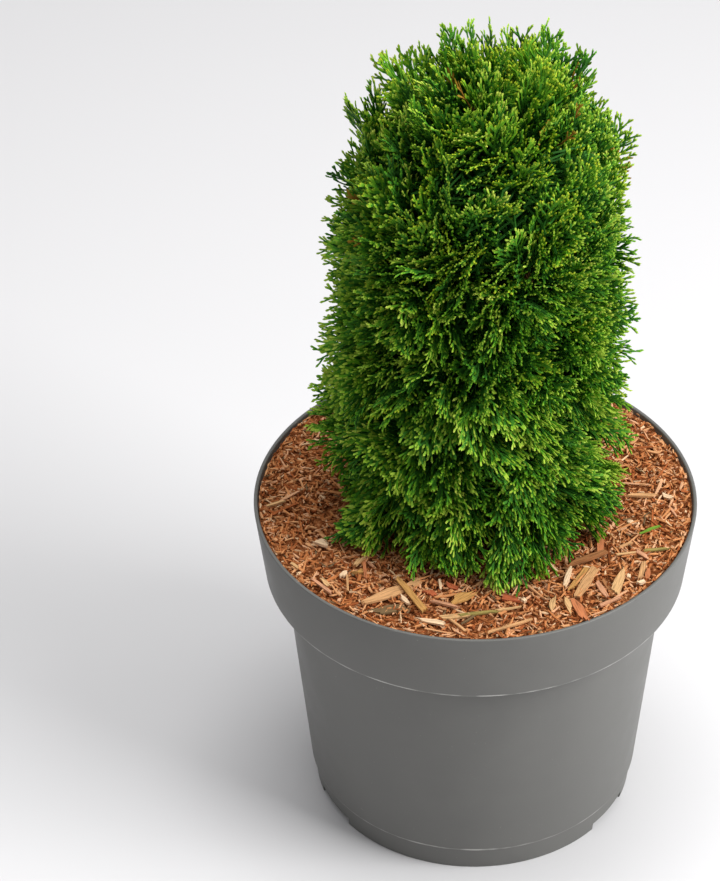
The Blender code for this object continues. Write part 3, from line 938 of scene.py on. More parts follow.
FINE_TONES = (
    (Shred.DARK, 18),
    (Shred.RED, 20),
    (Shred.RUST, 22),
    (Shred.ORANGE, 18),
    (Shred.TAN, 12),
    (Shred.PINK, 8),
    (Shred.PALE, 5),
)
COARSE_TONES = (
    (Shred.DARK, 8),
    (Shred.RED, 13),
    (Shred.RUST, 20),
    (Shred.ORANGE, 22),
    (Shred.TAN, 18),
    (Shred.PINK, 12),
    (Shred.PALE, 7),
    (Shred.GREY, 2),
)


@dataclass(frozen=True)
class Shreds:
    """The thousands of crumbs, flakes and fibres that cover the mulch."""

    pot: NurseryPot
    bed: MulchBed
    patterns: int = 16
    inner_radius: float = 0.020
    skirt_radius: float = 0.060
    skirt_share: float = 0.35
    wall_gap: float = 0.0007
    roll: float = 0.35
    layers: tuple[ShredLayer, ...] = (
        ShredLayer(crumb, 4400, (0.0011, 0.0030), (0.40, 0.90), (0.0005, 0.0014), (0.0, 0.0016), 0.45, FINE_TONES),
        ShredLayer(crumb, 2300, (0.0022, 0.0052), (0.22, 0.44), (0.0004, 0.0009), (0.0003, 0.0022), 0.26, COARSE_TONES),
        ShredLayer(shred, 5600, (0.0020, 0.0058), (0.13, 0.30), (0.0004, 0.0008), (0.0005, 0.0024), 0.20, COARSE_TONES),
        ShredLayer(shred, 170, (0.0090, 0.0160), (0.07, 0.13), (0.0005, 0.0010), (0.0014, 0.0028), 0.10, COARSE_TONES),
    )

    def place(self, rng: random.Random, length: float) -> tuple[float, float, float] | None:
        """Finds a place and heading where a piece of this length lies clear of the wall."""
        outer = self.pot.wall_radius(self.bed.edge) - self.wall_gap
        away = math.sqrt(rng.uniform(self.inner_radius**2, outer**2))
        around = rng.uniform(-math.pi, math.pi)
        heading = rng.uniform(-math.pi, math.pi)
        if away < self.skirt_radius and rng.random() > self.skirt_share:
            return None
        x, y = away * math.cos(around), away * math.sin(around)
        for turn in (heading, around + rng.gauss(0, 0.12)):
            half_x, half_y = -math.sin(turn) * length / 2, math.cos(turn) * length / 2
            reach = max(math.hypot(x + half_x, y + half_y), math.hypot(x - half_x, y - half_y))
            if reach < outer:
                return x, y, turn
        return None

    def scatter(self, heap: Heap, layer: ShredLayer, rng: random.Random) -> None:
        """Scatters one layer over the bed."""
        patterns = [layer.shape(seed) for seed in range(self.patterns)]
        order = list(Shred)
        names = [tone for tone, _ in layer.tones]
        weights = [weight for _, weight in layer.tones]
        shortest, longest = layer.lengths
        for _ in range(layer.count):
            length = shortest * (longest / shortest) ** rng.random()
            spot = self.place(rng, length)
            if spot is None:
                continue
            x, y, heading = spot
            size = (length * rng.uniform(*layer.slimness), length, rng.uniform(*layer.thickness))
            turn = Matrix.Rotation(heading, 3, "Z")
            turn = turn @ Matrix.Rotation(rng.gauss(0, layer.tilt), 3, "X")
            turn = turn @ Matrix.Rotation(rng.gauss(0, self.roll), 3, "Y") @ Matrix.Diagonal(size)
            pattern = rng.choice(patterns)
            points = pattern.points @ np.array(turn).T
            points += np.array((x, y, self.bed.height(x, y) + rng.uniform(*layer.lift)))
            heap.add(pattern, points, (order.index(rng.choices(names, weights)[0]),))

    def build(self) -> bpy.types.Object:
        """Scatters all layers into one piece and dresses it."""
        rng = random.Random(4)
        heap = Heap()
        for layer in self.layers:
            self.scatter(heap, layer, rng)
        shreds = heap.to_object("wood_shreds", False)
        dress(shreds, *(tone.value.material() for tone in Shred))
        hand_over(shreds, "wood_chips")
        return shreds


@dataclass(frozen=True)
class Chip:
    """One large chip: where its middle is, how it is turned, its size, its wood and how it lies.

    The place and the sizes are in millimetres and the turn is in degrees, from the X axis.
    """

    x: float
    y: float
    turn: float
    length: float
    width: float
    wood: Wood
    ends: Point = (0.90, 0.85)
    lift: float = 2.4
    thickness: float = 1.5


@dataclass(frozen=True)
class LargeChips:
    """The chips that stand out by their size or colour."""

    bed: MulchBed
    cuts: int = 5
    chips: tuple[Chip, ...] = (
        Chip(-45, -77, 29, 32, 6.8, Wood.TAN, ends=(0.3, 0.35)),
        Chip(-35, -80, -63, 30, 3.5, Wood.OCHRE, ends=(0.6, 0.95), lift=3.6),
        Chip(-33, -70, 37, 7, 4.5, Wood.TAN, ends=(0.8, 0.7)),
        Chip(-38, -84, -58, 7, 2.5, Wood.PALE, ends=(0.8, 0.5), lift=2.8),
        Chip(-46, -89, 18, 15, 5.5, Wood.OLIVE, lift=1.4),
        Chip(-25, -100, -15, 13, 3, Wood.PALE, ends=(0.5, 0.95), lift=2.8),
        Chip(-12, -104, -51, 11.5, 1.7, Wood.TAN, lift=3.2, thickness=1.2),
        Chip(-18, -87, -26, 14.5, 2, Wood.PINK, ends=(0.95, 0.3), lift=3.0, thickness=1.2),
        Chip(-9, -82, 41, 12.5, 6.5, Wood.OCHRE, ends=(0.25, 0.4), thickness=1.2),
        Chip(-13, -96, 0, 14, 3, Wood.STRAW, thickness=1.2),
        Chip(-1, -94, 13, 20, 1.9, Wood.OLIVE_GREEN, lift=3.0, thickness=0.9),
        Chip(14, -91, 10, 12.5, 1.5, Wood.STRAW, ends=(0.9, 0.5), lift=2.6, thickness=0.9),
        Chip(-7, -100, 44, 9, 1.1, Wood.OLIVE, lift=3.2, thickness=1.0),
        Chip(14, -105, 22, 24, 1.5, Wood.TAN, lift=3.0, thickness=1.1),
        Chip(-20, -71, -88, 8, 1.3, Wood.PALE, ends=(0.9, 0.7), lift=2.6, thickness=1.1),
        Chip(-25, -77, -42, 6, 3.5, Wood.RED, lift=2.0),
        Chip(-14, -73, -39, 6, 3, Wood.RED, lift=2.0),
        Chip(15, -83, -18, 8, 4, Wood.RED),
        Chip(22, -85, -22, 2.2, 2.4, Wood.PALE, lift=2.6),
        Chip(-10, -56, 14, 16, 2.2, Wood.BROWN, lift=6.5, thickness=1.8),
        Chip(54, -71, -118, 24, 4.5, Wood.TAN, lift=2.3, thickness=1.7),
        Chip(51, -67, -118, 20, 3, Wood.OCHRE, lift=1.8),
        Chip(63, -38, -94, 20, 4, Wood.ORANGE, lift=2.6),
        Chip(56, -53, 24, 20, 3, Wood.BROWN, ends=(0.7, 0.8), lift=3.2, thickness=2.0),
        Chip(45, -67, -106, 15, 2.3, Wood.PALE, ends=(0.6, 0.85)),
        Chip(62, -77, -72, 14, 3, Wood.PINK, ends=(0.7, 0.5), lift=2.6),
        Chip(65, -75, -72, 13, 2.2, Wood.BROWN, lift=1.8),
        Chip(71, -71, -107, 20, 5, Wood.STRAW, ends=(0.25, 0.9), lift=2.6),
        Chip(49, -92, -73, 15, 4.5, Wood.ORANGE, ends=(0.5, 0.85)),
        Chip(36, -88, -102, 9.5, 3, Wood.STRAW, ends=(0.6, 0.5), lift=2.6),
        Chip(44, -88, -73, 9.5, 3, Wood.STRAW, ends=(0.5, 0.8)),
        Chip(65, -87, 27, 11.5, 1.8, Wood.PINK, lift=3.0, thickness=1.1),
        Chip(83, -62, -101, 12.5, 2.7, Wood.TAN),
        Chip(86, -65, -99, 8, 2.5, Wood.ORANGE, ends=(0.5, 0.8)),
        Chip(76, -67, -89, 2.5, 1.8, Wood.PALE, lift=2.8),
        Chip(82, -72, -147, 4, 2, Wood.PALE, lift=2.6),
        Chip(87, -2, 0, 14, 2.3, Wood.TAN, ends=(0.7, 0.8), lift=2.8),
        Chip(100, -3, -41, 6, 3, Wood.PALE, ends=(0.7, 0.6)),
        Chip(102, -16, -69, 9, 1.1, Wood.PINK, lift=2.8, thickness=1.0),
        Chip(80, -23, -33, 3.5, 2.5, Wood.PALE, lift=2.6),
        Chip(84, -50, -44, 7.5, 2.3, Wood.PINK, lift=2.6),
        Chip(76, -42, 26, 7, 1.4, Wood.TAN, lift=2.6, thickness=1.0),
        Chip(91, -46, 14, 12, 1.9, Wood.OLIVE_GREEN, ends=(0.7, 0.7), lift=2.8, thickness=0.9),
        Chip(89, -30, 28, 12, 1.6, Wood.GREEN, ends=(0.5, 0.8), lift=2.8, thickness=1.0),
        Chip(76, -49, 11, 11, 1.2, Wood.STRAW, lift=2.6, thickness=0.9),
        Chip(-61, -53, -124, 7, 2.5, Wood.STRAW, ends=(0.7, 0.7), lift=2.6),
        Chip(-69, -62, -118, 4.5, 3, Wood.PALE, ends=(0.7, 0.7), lift=2.6),
        Chip(-60, -60, -14, 3, 3.5, Wood.OCHRE, lift=2.0),
        Chip(-58, -60, -88, 13, 1.6, Wood.ORANGE, lift=2.8, thickness=1.2),
        Chip(-55, -55, -52, 5, 1.4, Wood.PINK, lift=2.6, thickness=1.0),
        Chip(-67, -69, -89, 12, 1.1, Wood.TAN, lift=2.6, thickness=1.0),
        Chip(-80, -72, -53, 16, 1.8, Wood.PINK, lift=2.6, thickness=1.1),
        Chip(-78, -70, -50, 6.5, 2.4, Wood.STRAW, ends=(0.6, 0.7), lift=3.0, thickness=1.2),
        Chip(-94, -55, -49, 5.5, 1.6, Wood.STRAW, lift=2.6, thickness=1.1),
        Chip(-80, -37, -17, 6, 4.5, Wood.PALE, ends=(0.7, 0.8), lift=2.6),
        Chip(-104, -4, 23, 10, 1.6, Wood.STRAW, ends=(0.6, 0.9), lift=2.8, thickness=1.1),
    )

    def split_chip(self, chip: Chip, index: int) -> bpy.types.Object:
        """Splits one chip: a subdivided block with torn ends, laid on the mulch."""
        deselect_all()
        bpy.ops.mesh.primitive_cube_add(size=1)
        block = bpy.context.object
        bpy.ops.object.mode_set(mode="EDIT")
        bpy.ops.mesh.select_all(action="SELECT")
        bpy.ops.mesh.subdivide(number_cuts=self.cuts)
        bpy.ops.object.mode_set(mode="OBJECT")
        self.tear(block.data, chip, index)
        x, y = chip.x * MILLIMETRE, chip.y * MILLIMETRE
        block.scale = (MILLIMETRE, MILLIMETRE, MILLIMETRE)
        block.location = (x, y, self.bed.height(x, y) + chip.lift * MILLIMETRE)
        rock = (0.05 * (-1) ** (index // 2), 0.04 * (-1) ** index)
        block.rotation_euler = (*rock, math.radians(chip.turn))
        apply_place(block)
        dress(block, chip.wood.value.material())
        return block

    def tear(self, mesh: bpy.types.Mesh, chip: Chip, index: int) -> None:
        """Gives a unit block the chip's size, torn ends and a UV map along its grain."""
        layer = mesh.uv_layers[0]
        for vert in mesh.vertices:
            x, y, z = vert.co
            far = abs(x) * 2
            narrow = 1 - (1 - chip.ends[int(x > 0)]) * far**1.5
            wave = noise.noise(Vector((x * 2.5, index * 3.7, 0.5)))
            slant = noise.noise(Vector((math.copysign(4, x), index * 2.3, 1.5)))
            teeth = noise.noise(Vector((math.copysign(6, x), y * 5, index * 1.7)))
            bow = noise.noise(Vector((x * 1.2, index * 1.9, 4)))
            torn = (slant * 2.4 * y + teeth * 0.6) * chip.width * far**4
            vert.co.x = x * chip.length + torn
            vert.co.y = (y * (narrow + 0.16 * wave) + 0.25 * bow) * chip.width
            vert.co.z = z * chip.thickness * (0.85 + 0.4 * wave) + 1.2 * bow * abs(x)
        for loop in mesh.loops:
            place = mesh.vertices[loop.vertex_index].co
            layer.data[loop.index].uv = (
                (place.y + place.z) * MILLIMETRE + index * 0.1,
                place.x * MILLIMETRE,
            )

    def build(self) -> bpy.types.Object:
        """Builds every large chip and joins them into one piece."""
        blocks = [self.split_chip(chip, index) for index, chip in enumerate(self.chips)]
        chips = joined(blocks, "large_chips")
        bevel = chips.modifiers.new("Worn edges", "BEVEL")
        bevel.width = 0.00015
        bevel.segments = 1
        bevel.angle_limit = math.radians(50)
        apply_modifiers(chips)
        smooth(chips, 30)
        hand_over(chips, "wood_chips")
        return chips


# The crown, its masses and their limbs


@dataclass(frozen=True)
class Crown:
    """The egg that the foliage fills, which leans a little with its trunk."""

    foot: float = 0.1820
    x: float = -0.0036
    y: float = 0.0040
    lean_x: float = 0.029
    lean_y: float = -0.013
    skirt_radius: float = 0.0744
    widest_radius: float = 0.0786
    widest_height: float = 0.2937
    top: float = 0.4573
    rise_power: float = 2.73
    round_power: float = 2.9
    foliage_bottom: float = 0.1880
    lowest_growth: float = math.radians(-6)
    growth_power: float = 2.4

    def axis(self, height: float) -> Vector:
        """Returns the crown's middle at this height, which the trunk follows."""
        rise = height - self.foot
        return Vector((self.x + self.lean_x * rise, self.y + self.lean_y * rise, height))

    def radius(self, height: float) -> float:
        """Returns how far foliage reaches from the crown's middle at this height."""
        if height < self.widest_height:
            drop = (self.widest_height - height) / (self.widest_height - self.foot)
            return self.widest_radius + (self.skirt_radius - self.widest_radius) * drop**2
        rise = min(1, (height - self.widest_height) / (self.top - self.widest_height))
        return self.widest_radius * (1 - rise**self.rise_power) ** (1 / self.round_power)

    def share(self, height: float) -> float:
        """Returns how far up the crown this height is, from 0 to 1."""
        return min(1, max(0, (height - self.foot) / (self.top - self.foot)))

    def keep_in(self, height: float) -> float:
        """Returns the height, kept between the lowest foliage and the top."""
        return min(self.top - 0.0001, max(self.foliage_bottom, height))

    def spots(self, count: int) -> Iterator[tuple[float, float]]:
        """Yields headings and heights spread evenly over the crown, on a golden-angle spiral."""
        steps = 400
        heights = [
            self.foliage_bottom + (self.top - self.foliage_bottom) * (1 - (1 - step / steps) ** 2)
            for step in range(steps + 1)
        ]
        areas = [0.0]
        for low, high in zip(heights, heights[1:]):
            slant = math.hypot(high - low, self.radius(high) - self.radius(low))
            areas.append(areas[-1] + slant * (self.radius(low) + self.radius(high)))
        step = 0
        for index in range(count):
            wanted = areas[-1] * (index + 0.5) / count
            while areas[step + 1] < wanted:
                step += 1
            part = (wanted - areas[step]) / (areas[step + 1] - areas[step])
            yield index * GOLDEN_ANGLE, heights[step] + (heights[step + 1] - heights[step]) * part

    def tip(self, around: float, height: float, stand_out: float) -> tuple[Vector, Vector]:
        """Returns a point near the crown's outline and the direction in which sprays there grow."""
        outward = Vector((math.cos(around), math.sin(around), 0))
        rise = self.lowest_growth
        rise += (math.pi / 2 - self.lowest_growth) * self.share(height) ** self.growth_power
        growth = outward * math.cos(rise) + UP * math.sin(rise)
        surface = self.axis(height) + outward * self.radius(height)
        return surface + growth * stand_out, growth


@dataclass(frozen=True)
class Tier:
    """One ring of masses round the trunk."""

    name: str
    count: int
    height: float
    away: float
    first: float
    rise: float
    thickness: float


@dataclass(frozen=True)
class Mass:
    """One mass of foliage, named as its CAD node, and the direction of its bough."""

    name: str
    centre: Vector
    outward: Vector | None
    rise: float
    thickness: float

    @property
    def tier(self) -> str:
        """Returns the name of the mass's tier."""
        return self.name.split("_")[1]


@dataclass(frozen=True)
class Skeleton:
    """The trunk and the boughs that carry the masses."""

    crown: Crown
    soil_top: float = 0.1720
    seat_gap: float = 0.0003
    trunk_top: float = 0.3960
    trunk_flare: float = 0.0125
    trunk_radius: float = 0.0085
    trunk_tip: float = 0.0028
    flare_height: float = 0.0220
    sway: float = 0.0012
    trunk_sides: int = 40
    trunk_rings: int = 90
    bough_root: float = 0.0034
    bough_tip: float = 0.0018
    bough_climb: float = 0.0170
    bough_stop: float = 0.0260
    bough_steps: int = 14
    top_mass_height: float = 0.4260
    tiers: tuple[Tier, ...] = (
        Tier("low", 5, 0.2255, 0.0500, 18, 10, 1.0),
        Tier("middle", 5, 0.2965, 0.0515, 54, 32, 0.84),
        Tier("high", 5, 0.3670, 0.0470, 18, 38, 0.68),
    )

    def masses(self) -> list[Mass]:
        """Returns the masses in tiers round the trunk, with one at the top."""
        found = []
        for tier in self.tiers:
            for index in range(tier.count):
                around = math.radians(tier.first + 360 * index / tier.count)
                outward = Vector((math.cos(around), math.sin(around), 0))
                centre = self.crown.axis(tier.height) + outward * tier.away
                name = f"foliage_{tier.name}_{index + 1}"
                found.append(Mass(name, centre, outward, math.radians(tier.rise), tier.thickness))
        top = self.crown.axis(self.top_mass_height)
        found.append(Mass("foliage_top", top, None, math.pi / 2, 0.6))
        return found

    def trunk_middle(self, height: float) -> Vector:
        """Returns the trunk's middle, which sways a little about the crown's."""
        share = (height - self.soil_top) / (self.trunk_top - self.soil_top)
        sway = self.sway * math.sin(share * 3 * math.pi) * math.sin(share * math.pi)
        return self.crown.axis(height) + Vector((sway, -sway, 0))

    def trunk_width(self, height: float) -> float:
        """Returns the trunk's radius: a root flare, then an even taper to the tip."""
        rise = height - self.soil_top
        share = rise / (self.trunk_top - self.soil_top)
        flare = max(0, 1 - rise / self.flare_height) ** 2
        taper = self.trunk_radius + (self.trunk_tip - self.trunk_radius) * share
        return taper + (self.trunk_flare - self.trunk_radius) * flare

    def build_trunk(self, bark: bpy.types.Material) -> None:
        """Builds the trunk: a disc, extruded and resized up to the tip, then given its relief."""
        deselect_all()
        bottom = self.soil_top + self.seat_gap
        place, radius = self.trunk_middle(bottom), self.trunk_width(bottom)
        bpy.ops.mesh.primitive_circle_add(
            vertices=self.trunk_sides, radius=radius, fill_type="NGON", location=place
        )
        trunk = bpy.context.object
        bpy.ops.object.mode_set(mode="EDIT")
        bpy.ops.mesh.select_all(action="SELECT")
        for step in range(1, self.trunk_rings + 1):
            height = bottom + (self.trunk_top - bottom) * step / self.trunk_rings
            middle, width = self.trunk_middle(height), self.trunk_width(height)
            bpy.ops.mesh.extrude_region_move(TRANSFORM_OT_translate={"value": middle - place})
            size = width / radius
            bpy.ops.transform.resize(value=(size, size, 1), center_override=middle)
            place, radius = middle, width
        bpy.ops.object.mode_set(mode="OBJECT")
        apply_place(trunk)
        point_outwards(trunk)
        for vert in trunk.data.vertices:
            if vert.co.z > bottom + MILLIMETRE:
                self.fray(vert, self.trunk_middle(vert.co.z), 0.0006)
        trunk.name = "trunk_bark"
        smooth(trunk, 60)
        dress(trunk, bark)
        hand_over(trunk, "bark", "trunk")

    def fray(self, vert: bpy.types.MeshVertex, middle: Vector, depth: float) -> None:
        """Moves a point of the bark in or out, by strips that run along the limb."""
        out = (vert.co - middle).normalized()
        strips = noise.fractal(out * 4.2 + UP * (vert.co.z * 38), 0.7, 2.1, 3)
        vert.co += out * depth * strips

    def bough_line(self, mass: Mass) -> list[Vector]:
        """Returns the points of a mass's bough, from the trunk's middle to its tip."""
        towards = mass.outward * math.cos(mass.rise) + UP * math.sin(mass.rise)
        away = (mass.centre - self.crown.axis(mass.centre.z)).dot(mass.outward)
        tip = mass.centre - towards * ((away - self.bough_stop) / math.cos(mass.rise))
        root = self.trunk_middle(tip.z - self.bough_climb)
        bend = tip - towards * (tip - root).length * 0.5
        steps = self.bough_steps
        return [bezier(root, bend, tip, step / steps) for step in range(steps + 1)]

    def build_bough(self, mass: Mass) -> bpy.types.Object:
        """Builds one tapering bough with its relief."""
        curve = bpy.data.curves.new(mass.name.replace("foliage", "bough") + "_line", "CURVE")
        curve.dimensions = "3D"
        curve.bevel_depth = MILLIMETRE
        curve.bevel_resolution = 3
        curve.use_fill_caps = True
        line = self.bough_line(mass)
        spline = curve.splines.new("POLY")
        spline.points.add(len(line) - 1)
        for index, (point, place) in enumerate(zip(spline.points, line)):
            share = index / self.bough_steps
            width = self.bough_root + (self.bough_tip - self.bough_root) * share
            point.co = (*place, 1)
            point.radius = mass.thickness * width / MILLIMETRE
        bough = new_object("limb_" + mass.name.removeprefix("foliage_"), curve)
        select_only(bough)
        bpy.ops.object.convert(target="MESH")
        for vert in bough.data.vertices:
            middle = min(line, key=lambda place: (place - vert.co).length)
            self.fray(vert, middle, 0.00025)
        return bough

    def build_boughs(self, masses: Sequence[Mass], bark: bpy.types.Material) -> None:
        """Builds all boughs as one piece."""
        carried = [mass for mass in masses if mass.outward]
        boughs = joined([self.build_bough(mass) for mass in carried], "bough_bark")
        point_outwards(boughs)
        smooth(boughs, 60)
        dress(boughs, bark)
        names = (mass.name.replace("foliage", "bough") for mass in carried)
        hand_over(boughs, "bark", *names)


# Foliage


class Role(IntEnum):
    """The parts of a spray, from its woody stem to the ends of its shoots."""

    STEM = 0
    BASE = 1
    SHOOT = 2
    BRIGHT = 3
    TIP = 4


class Greens(Enum):
    """The greens of one spray, for each role in order: the bright tips are fresh growth, and the darker bases are
    partly painted shade where the shoots crowd.
    """

    # The first two sets are the darkest greens, for sprays deep inside the crown and some low on it: painted shade.
    BURIED = (Leaf.STEM, Leaf.DEEP, Leaf.DEEP, Leaf.DEEP, Leaf.MIDDLE)
    SHADED = (Leaf.STEM, Leaf.DEEP, Leaf.DEEP, Leaf.MIDDLE, Leaf.FRESH)
    OLD = (Leaf.STEM, Leaf.DEEP, Leaf.MIDDLE, Leaf.FRESH, Leaf.TIP_GREEN)
    GREEN = (Leaf.STEM, Leaf.DEEP, Leaf.MIDDLE, Leaf.TIP_GREEN, Leaf.TIP_LIME)
    FRESH = (Leaf.STEM, Leaf.MIDDLE, Leaf.FRESH, Leaf.TIP_LIME, Leaf.TIP_LIME)
    LIME = (Leaf.STEM, Leaf.MIDDLE, Leaf.FRESH, Leaf.TIP_LIME, Leaf.TIP_PALE)
    GOLDEN = (Leaf.STEM, Leaf.MIDDLE, Leaf.FRESH, Leaf.TIP_GREEN, Leaf.TIP_GOLD)
    BRONZED = (Leaf.STEM, Leaf.MIDDLE, Leaf.TIP_GREEN, Leaf.TIP_LIME, Leaf.BRONZE)
    WITHERED = (Leaf.RUST, Leaf.RUST, Leaf.BRONZE, Leaf.BRONZE, Leaf.BRONZE)


@dataclass(frozen=True)
class Run:
    """The curved line of one shoot in its spray."""

    start: Vector
    lean: float
    length: float
    curl: float
    lift: float

    def at(self, share: float) -> tuple[Vector, float]:
        """Returns the place and the lean at a share of the shoot's length."""
        steps = 5
        place = self.start.copy()
        for step in range(steps):
            lean = self.lean * (1 - self.curl * share * (step + 0.5) / steps)
            stride = self.length * share / steps
            place += Vector((math.sin(lean), math.cos(lean), 0)) * stride
        place.z += self.lift * self.length * share**2
        return place, self.lean * (1 - self.curl * share)


@dataclass(frozen=True)
class SprayKind:
    """The sizes of one kind of spray: a flat fan of shoots that fork towards their tips."""

    length: Point
    laterals: int
    span: Point
    spread: Point
    reach: float
    extra: float
    forks: int
    fork_length: Point
    fork_spread: float
    shoot_width: float
    tip_width: float
    tip_length: float
    curl: float = 0.45
    axis_roles: tuple[Role, ...] = (Role.STEM, Role.BASE, Role.SHOOT)
    lateral_roles: tuple[Role, ...] = (Role.BASE, Role.SHOOT)

    KEEL = 0.60
    SHOULDER = 0.68
    ROOT_SWELL = 1.22
    NECK_SWELL = 0.88

    @property
    def fork_room(self) -> float:
        """Returns how long a shoot has to be for each fork on it."""
        return 1.1 * self.fork_length[0] + 0.0015

    def pattern(self, seed: int) -> FrozenPattern:
        """Grows one spray along the Y axis.

        Args:
            seed: The number that its random sizes start from.

        Returns:
            The spray's pattern, with its foot at the origin.
        """
        rng = random.Random(seed)
        pattern = Pattern()
        axis = Run(Vector(), rng.gauss(0, 0.05), rng.uniform(*self.length), 0.3, rng.gauss(0, 0.05))
        self.shoot(pattern, axis, self.axis_roles)
        side = rng.choice((-1, 1))
        for index in range(self.laterals):
            spot = (index + rng.uniform(-0.3, 0.3)) / (self.laterals - 1)
            share = min(0.95, self.span[0] + (self.span[1] - self.span[0]) * spot)
            place, lean = axis.at(share)
            spread = self.spread[0] + (self.spread[1] - self.spread[0]) * spot
            length = ((1 - share) * axis.length * self.reach + self.extra) * rng.uniform(0.8, 1.2)
            spread *= side * rng.uniform(0.8, 1.2)
            lateral = Run(place, lean + spread, length, self.curl, rng.gauss(0, 0.14))
            self.shoot(pattern, lateral, self.lateral_roles)
            self.fork(pattern, lateral, rng)
            side = -side
        self.fork(pattern, axis, rng)
        return pattern.freeze()

    def fork(self, pattern: Pattern, parent: Run, rng: random.Random) -> None:
        """Grows the last short shoots near the end of a longer one."""
        side = rng.choice((-1, 1))
        count = min(self.forks, int(parent.length / self.fork_room))
        for index in range(count):
            length = rng.uniform(*self.fork_length)
            from_tip = (0.75 + 0.70 * index) * length * rng.uniform(0.85, 1.15)
            share = max(0.12, 1 - from_tip / parent.length)
            place, lean = parent.at(share)
            spread = side * self.fork_spread * rng.uniform(0.75, 1.25)
            self.shoot(pattern, Run(place, lean + spread, length, 0.5, rng.gauss(0, 0.16)), (Role.SHOOT,))
            side = -side

    def shoot(self, pattern: Pattern, run: Run, roles: Sequence[Role]) -> None:
        """Adds one keeled shoot, open at its buried foot, with a bright end.

        Args:
            pattern: The spray that it is added to.
            run: The shoot's line.
            roles: The role of each of its lengths before the bright end.
        """
        neck = max(0.35, 1 - self.tip_length / run.length)
        parts = len(roles)
        stations = []
        for part in range(parts + 1):
            swell = self.ROOT_SWELL + (self.NECK_SWELL - self.ROOT_SWELL) * part / parts
            stations.append((neck * part / parts, self.shoot_width * swell))
        stations.append((neck + (1 - neck) * self.SHOULDER, self.tip_width))
        rings = []
        for share, width in stations:
            place, lean = run.at(share)
            side = Vector((math.cos(lean), -math.sin(lean), 0)) * width / 2
            keel = Vector((0, 0, width * self.KEEL))
            rings.append(pattern.ring((place + side, place + keel, place - side)))
        for near, far, role in zip(rings, rings[1:], (*roles, Role.BRIGHT)):
            pattern.band(near, far, role)
        pattern.tip(rings[-1], run.at(1)[0], Role.TIP)


LONG_SPRAY = SprayKind(
    length=(0.030, 0.035),
    laterals=8,
    span=(0.16, 0.90),
    spread=(0.80, 0.58),
    reach=0.58,
    extra=0.0058,
    forks=2,
    fork_length=(0.0044, 0.0070),
    fork_spread=0.54,
    shoot_width=0.00104,
    tip_width=0.00128,
    tip_length=0.0030,
    curl=0.84,
)
SHORT_SPRAY = SprayKind(
    length=(0.027, 0.032),
    laterals=8,
    span=(0.20, 0.90),
    spread=(0.82, 0.60),
    reach=0.54,
    extra=0.0054,
    forks=2,
    fork_length=(0.0038, 0.0060),
    fork_spread=0.60,
    shoot_width=0.00104,
    tip_width=0.00128,
    tip_length=0.0027,
    curl=0.74,
)
INNER_SPRAY = SprayKind(
    length=(0.027, 0.032),
    laterals=9,
    span=(0.25, 0.90),
    spread=(0.72, 0.50),
    reach=0.58,
    extra=0.0055,
    forks=1,
    fork_length=(0.0045, 0.0070),
    fork_spread=0.5,
    shoot_width=0.00115,
    tip_width=0.00130,
    tip_length=0.0040,
    axis_roles=(Role.STEM, Role.BASE),
    lateral_roles=(Role.BASE,),
)
CORE_SPRAY = SprayKind(
    length=(0.034, 0.040),
    laterals=11,
    span=(0.10, 0.92),
    spread=(0.85, 0.60),
    reach=0.60,
    extra=0.0060,
    forks=0,
    fork_length=(0.004, 0.006),
    fork_spread=0.5,
    shoot_width=0.00130,
    tip_width=0.00140,
    tip_length=0.0040,
    axis_roles=(Role.BASE,),
    lateral_roles=(Role.BASE,),
)
WITHERED_SPRAY = SprayKind(
    length=(0.013, 0.018),
    laterals=4,
    span=(0.30, 0.85),
    spread=(0.62, 0.50),
    reach=0.40,
    extra=0.0020,
    forks=0,
    fork_length=(0.004, 0.006),
    fork_spread=0.5,
    shoot_width=0.00100,
    tip_width=0.00100,
    tip_length=0.0030,
    axis_roles=(Role.BASE,),
    lateral_roles=(Role.BASE,),
)


@dataclass(frozen=True)
class Plume:
    """One branchlet of a mass: its place on the crown's outline, and how its sprays part and turn."""

    spot: Vector
    heading: Vector
    hub: Vector
    mass: Mass
    stand_out: float
    roll: float
    freshness: float


@dataclass(frozen=True)
class Mixture:
    """How likely each set of greens is, low down and at the top."""

    low: tuple[tuple[Greens, float], ...]
    top: tuple[tuple[Greens, float], ...]

    def pick(self, share: float, rng: random.Random) -> Greens:
        """Draws the greens of one spray that is this share up the crown."""
        options = self.top if rng.random() < (share - 0.45) * 1.8 else self.low
        return rng.choices([greens for greens, _ in options], [part for _, part in options])[0]


OUTER_MIXTURE = Mixture(
    ((Greens.SHADED, 1.5), (Greens.OLD, 3.5), (Greens.GREEN, 4), (Greens.FRESH, 1.5), (Greens.LIME, 0.5)),
    ((Greens.OLD, 1.5), (Greens.GREEN, 4), (Greens.FRESH, 2), (Greens.LIME, 1.5), (Greens.GOLDEN, 5), (Greens.BRONZED, 0.3)),
)
# The deeper shells draw more of the dark greens: painted shade inside the crown.
MIDDLE_MIXTURE = Mixture(
    ((Greens.SHADED, 2), (Greens.OLD, 3), (Greens.GREEN, 2)),
    ((Greens.SHADED, 1.5), (Greens.OLD, 3), (Greens.GREEN, 2), (Greens.GOLDEN, 1)),
)
INNER_MIXTURE = Mixture(((Greens.SHADED, 3), (Greens.OLD, 1)), ((Greens.SHADED, 2), (Greens.OLD, 1)))
CORE_MIXTURE = Mixture(((Greens.BURIED, 2), (Greens.SHADED, 1)), ((Greens.BURIED, 2), (Greens.SHADED, 1)))


@dataclass(frozen=True)
class Shell:
    """One layer of sprays: how many, how deep their tips lie, how they bulge, and their greens."""

    count: int
    turn: float
    depth: float
    scatter: float
    bulge: float
    mixture: Mixture
    kinds: tuple[SprayKind, SprayKind]


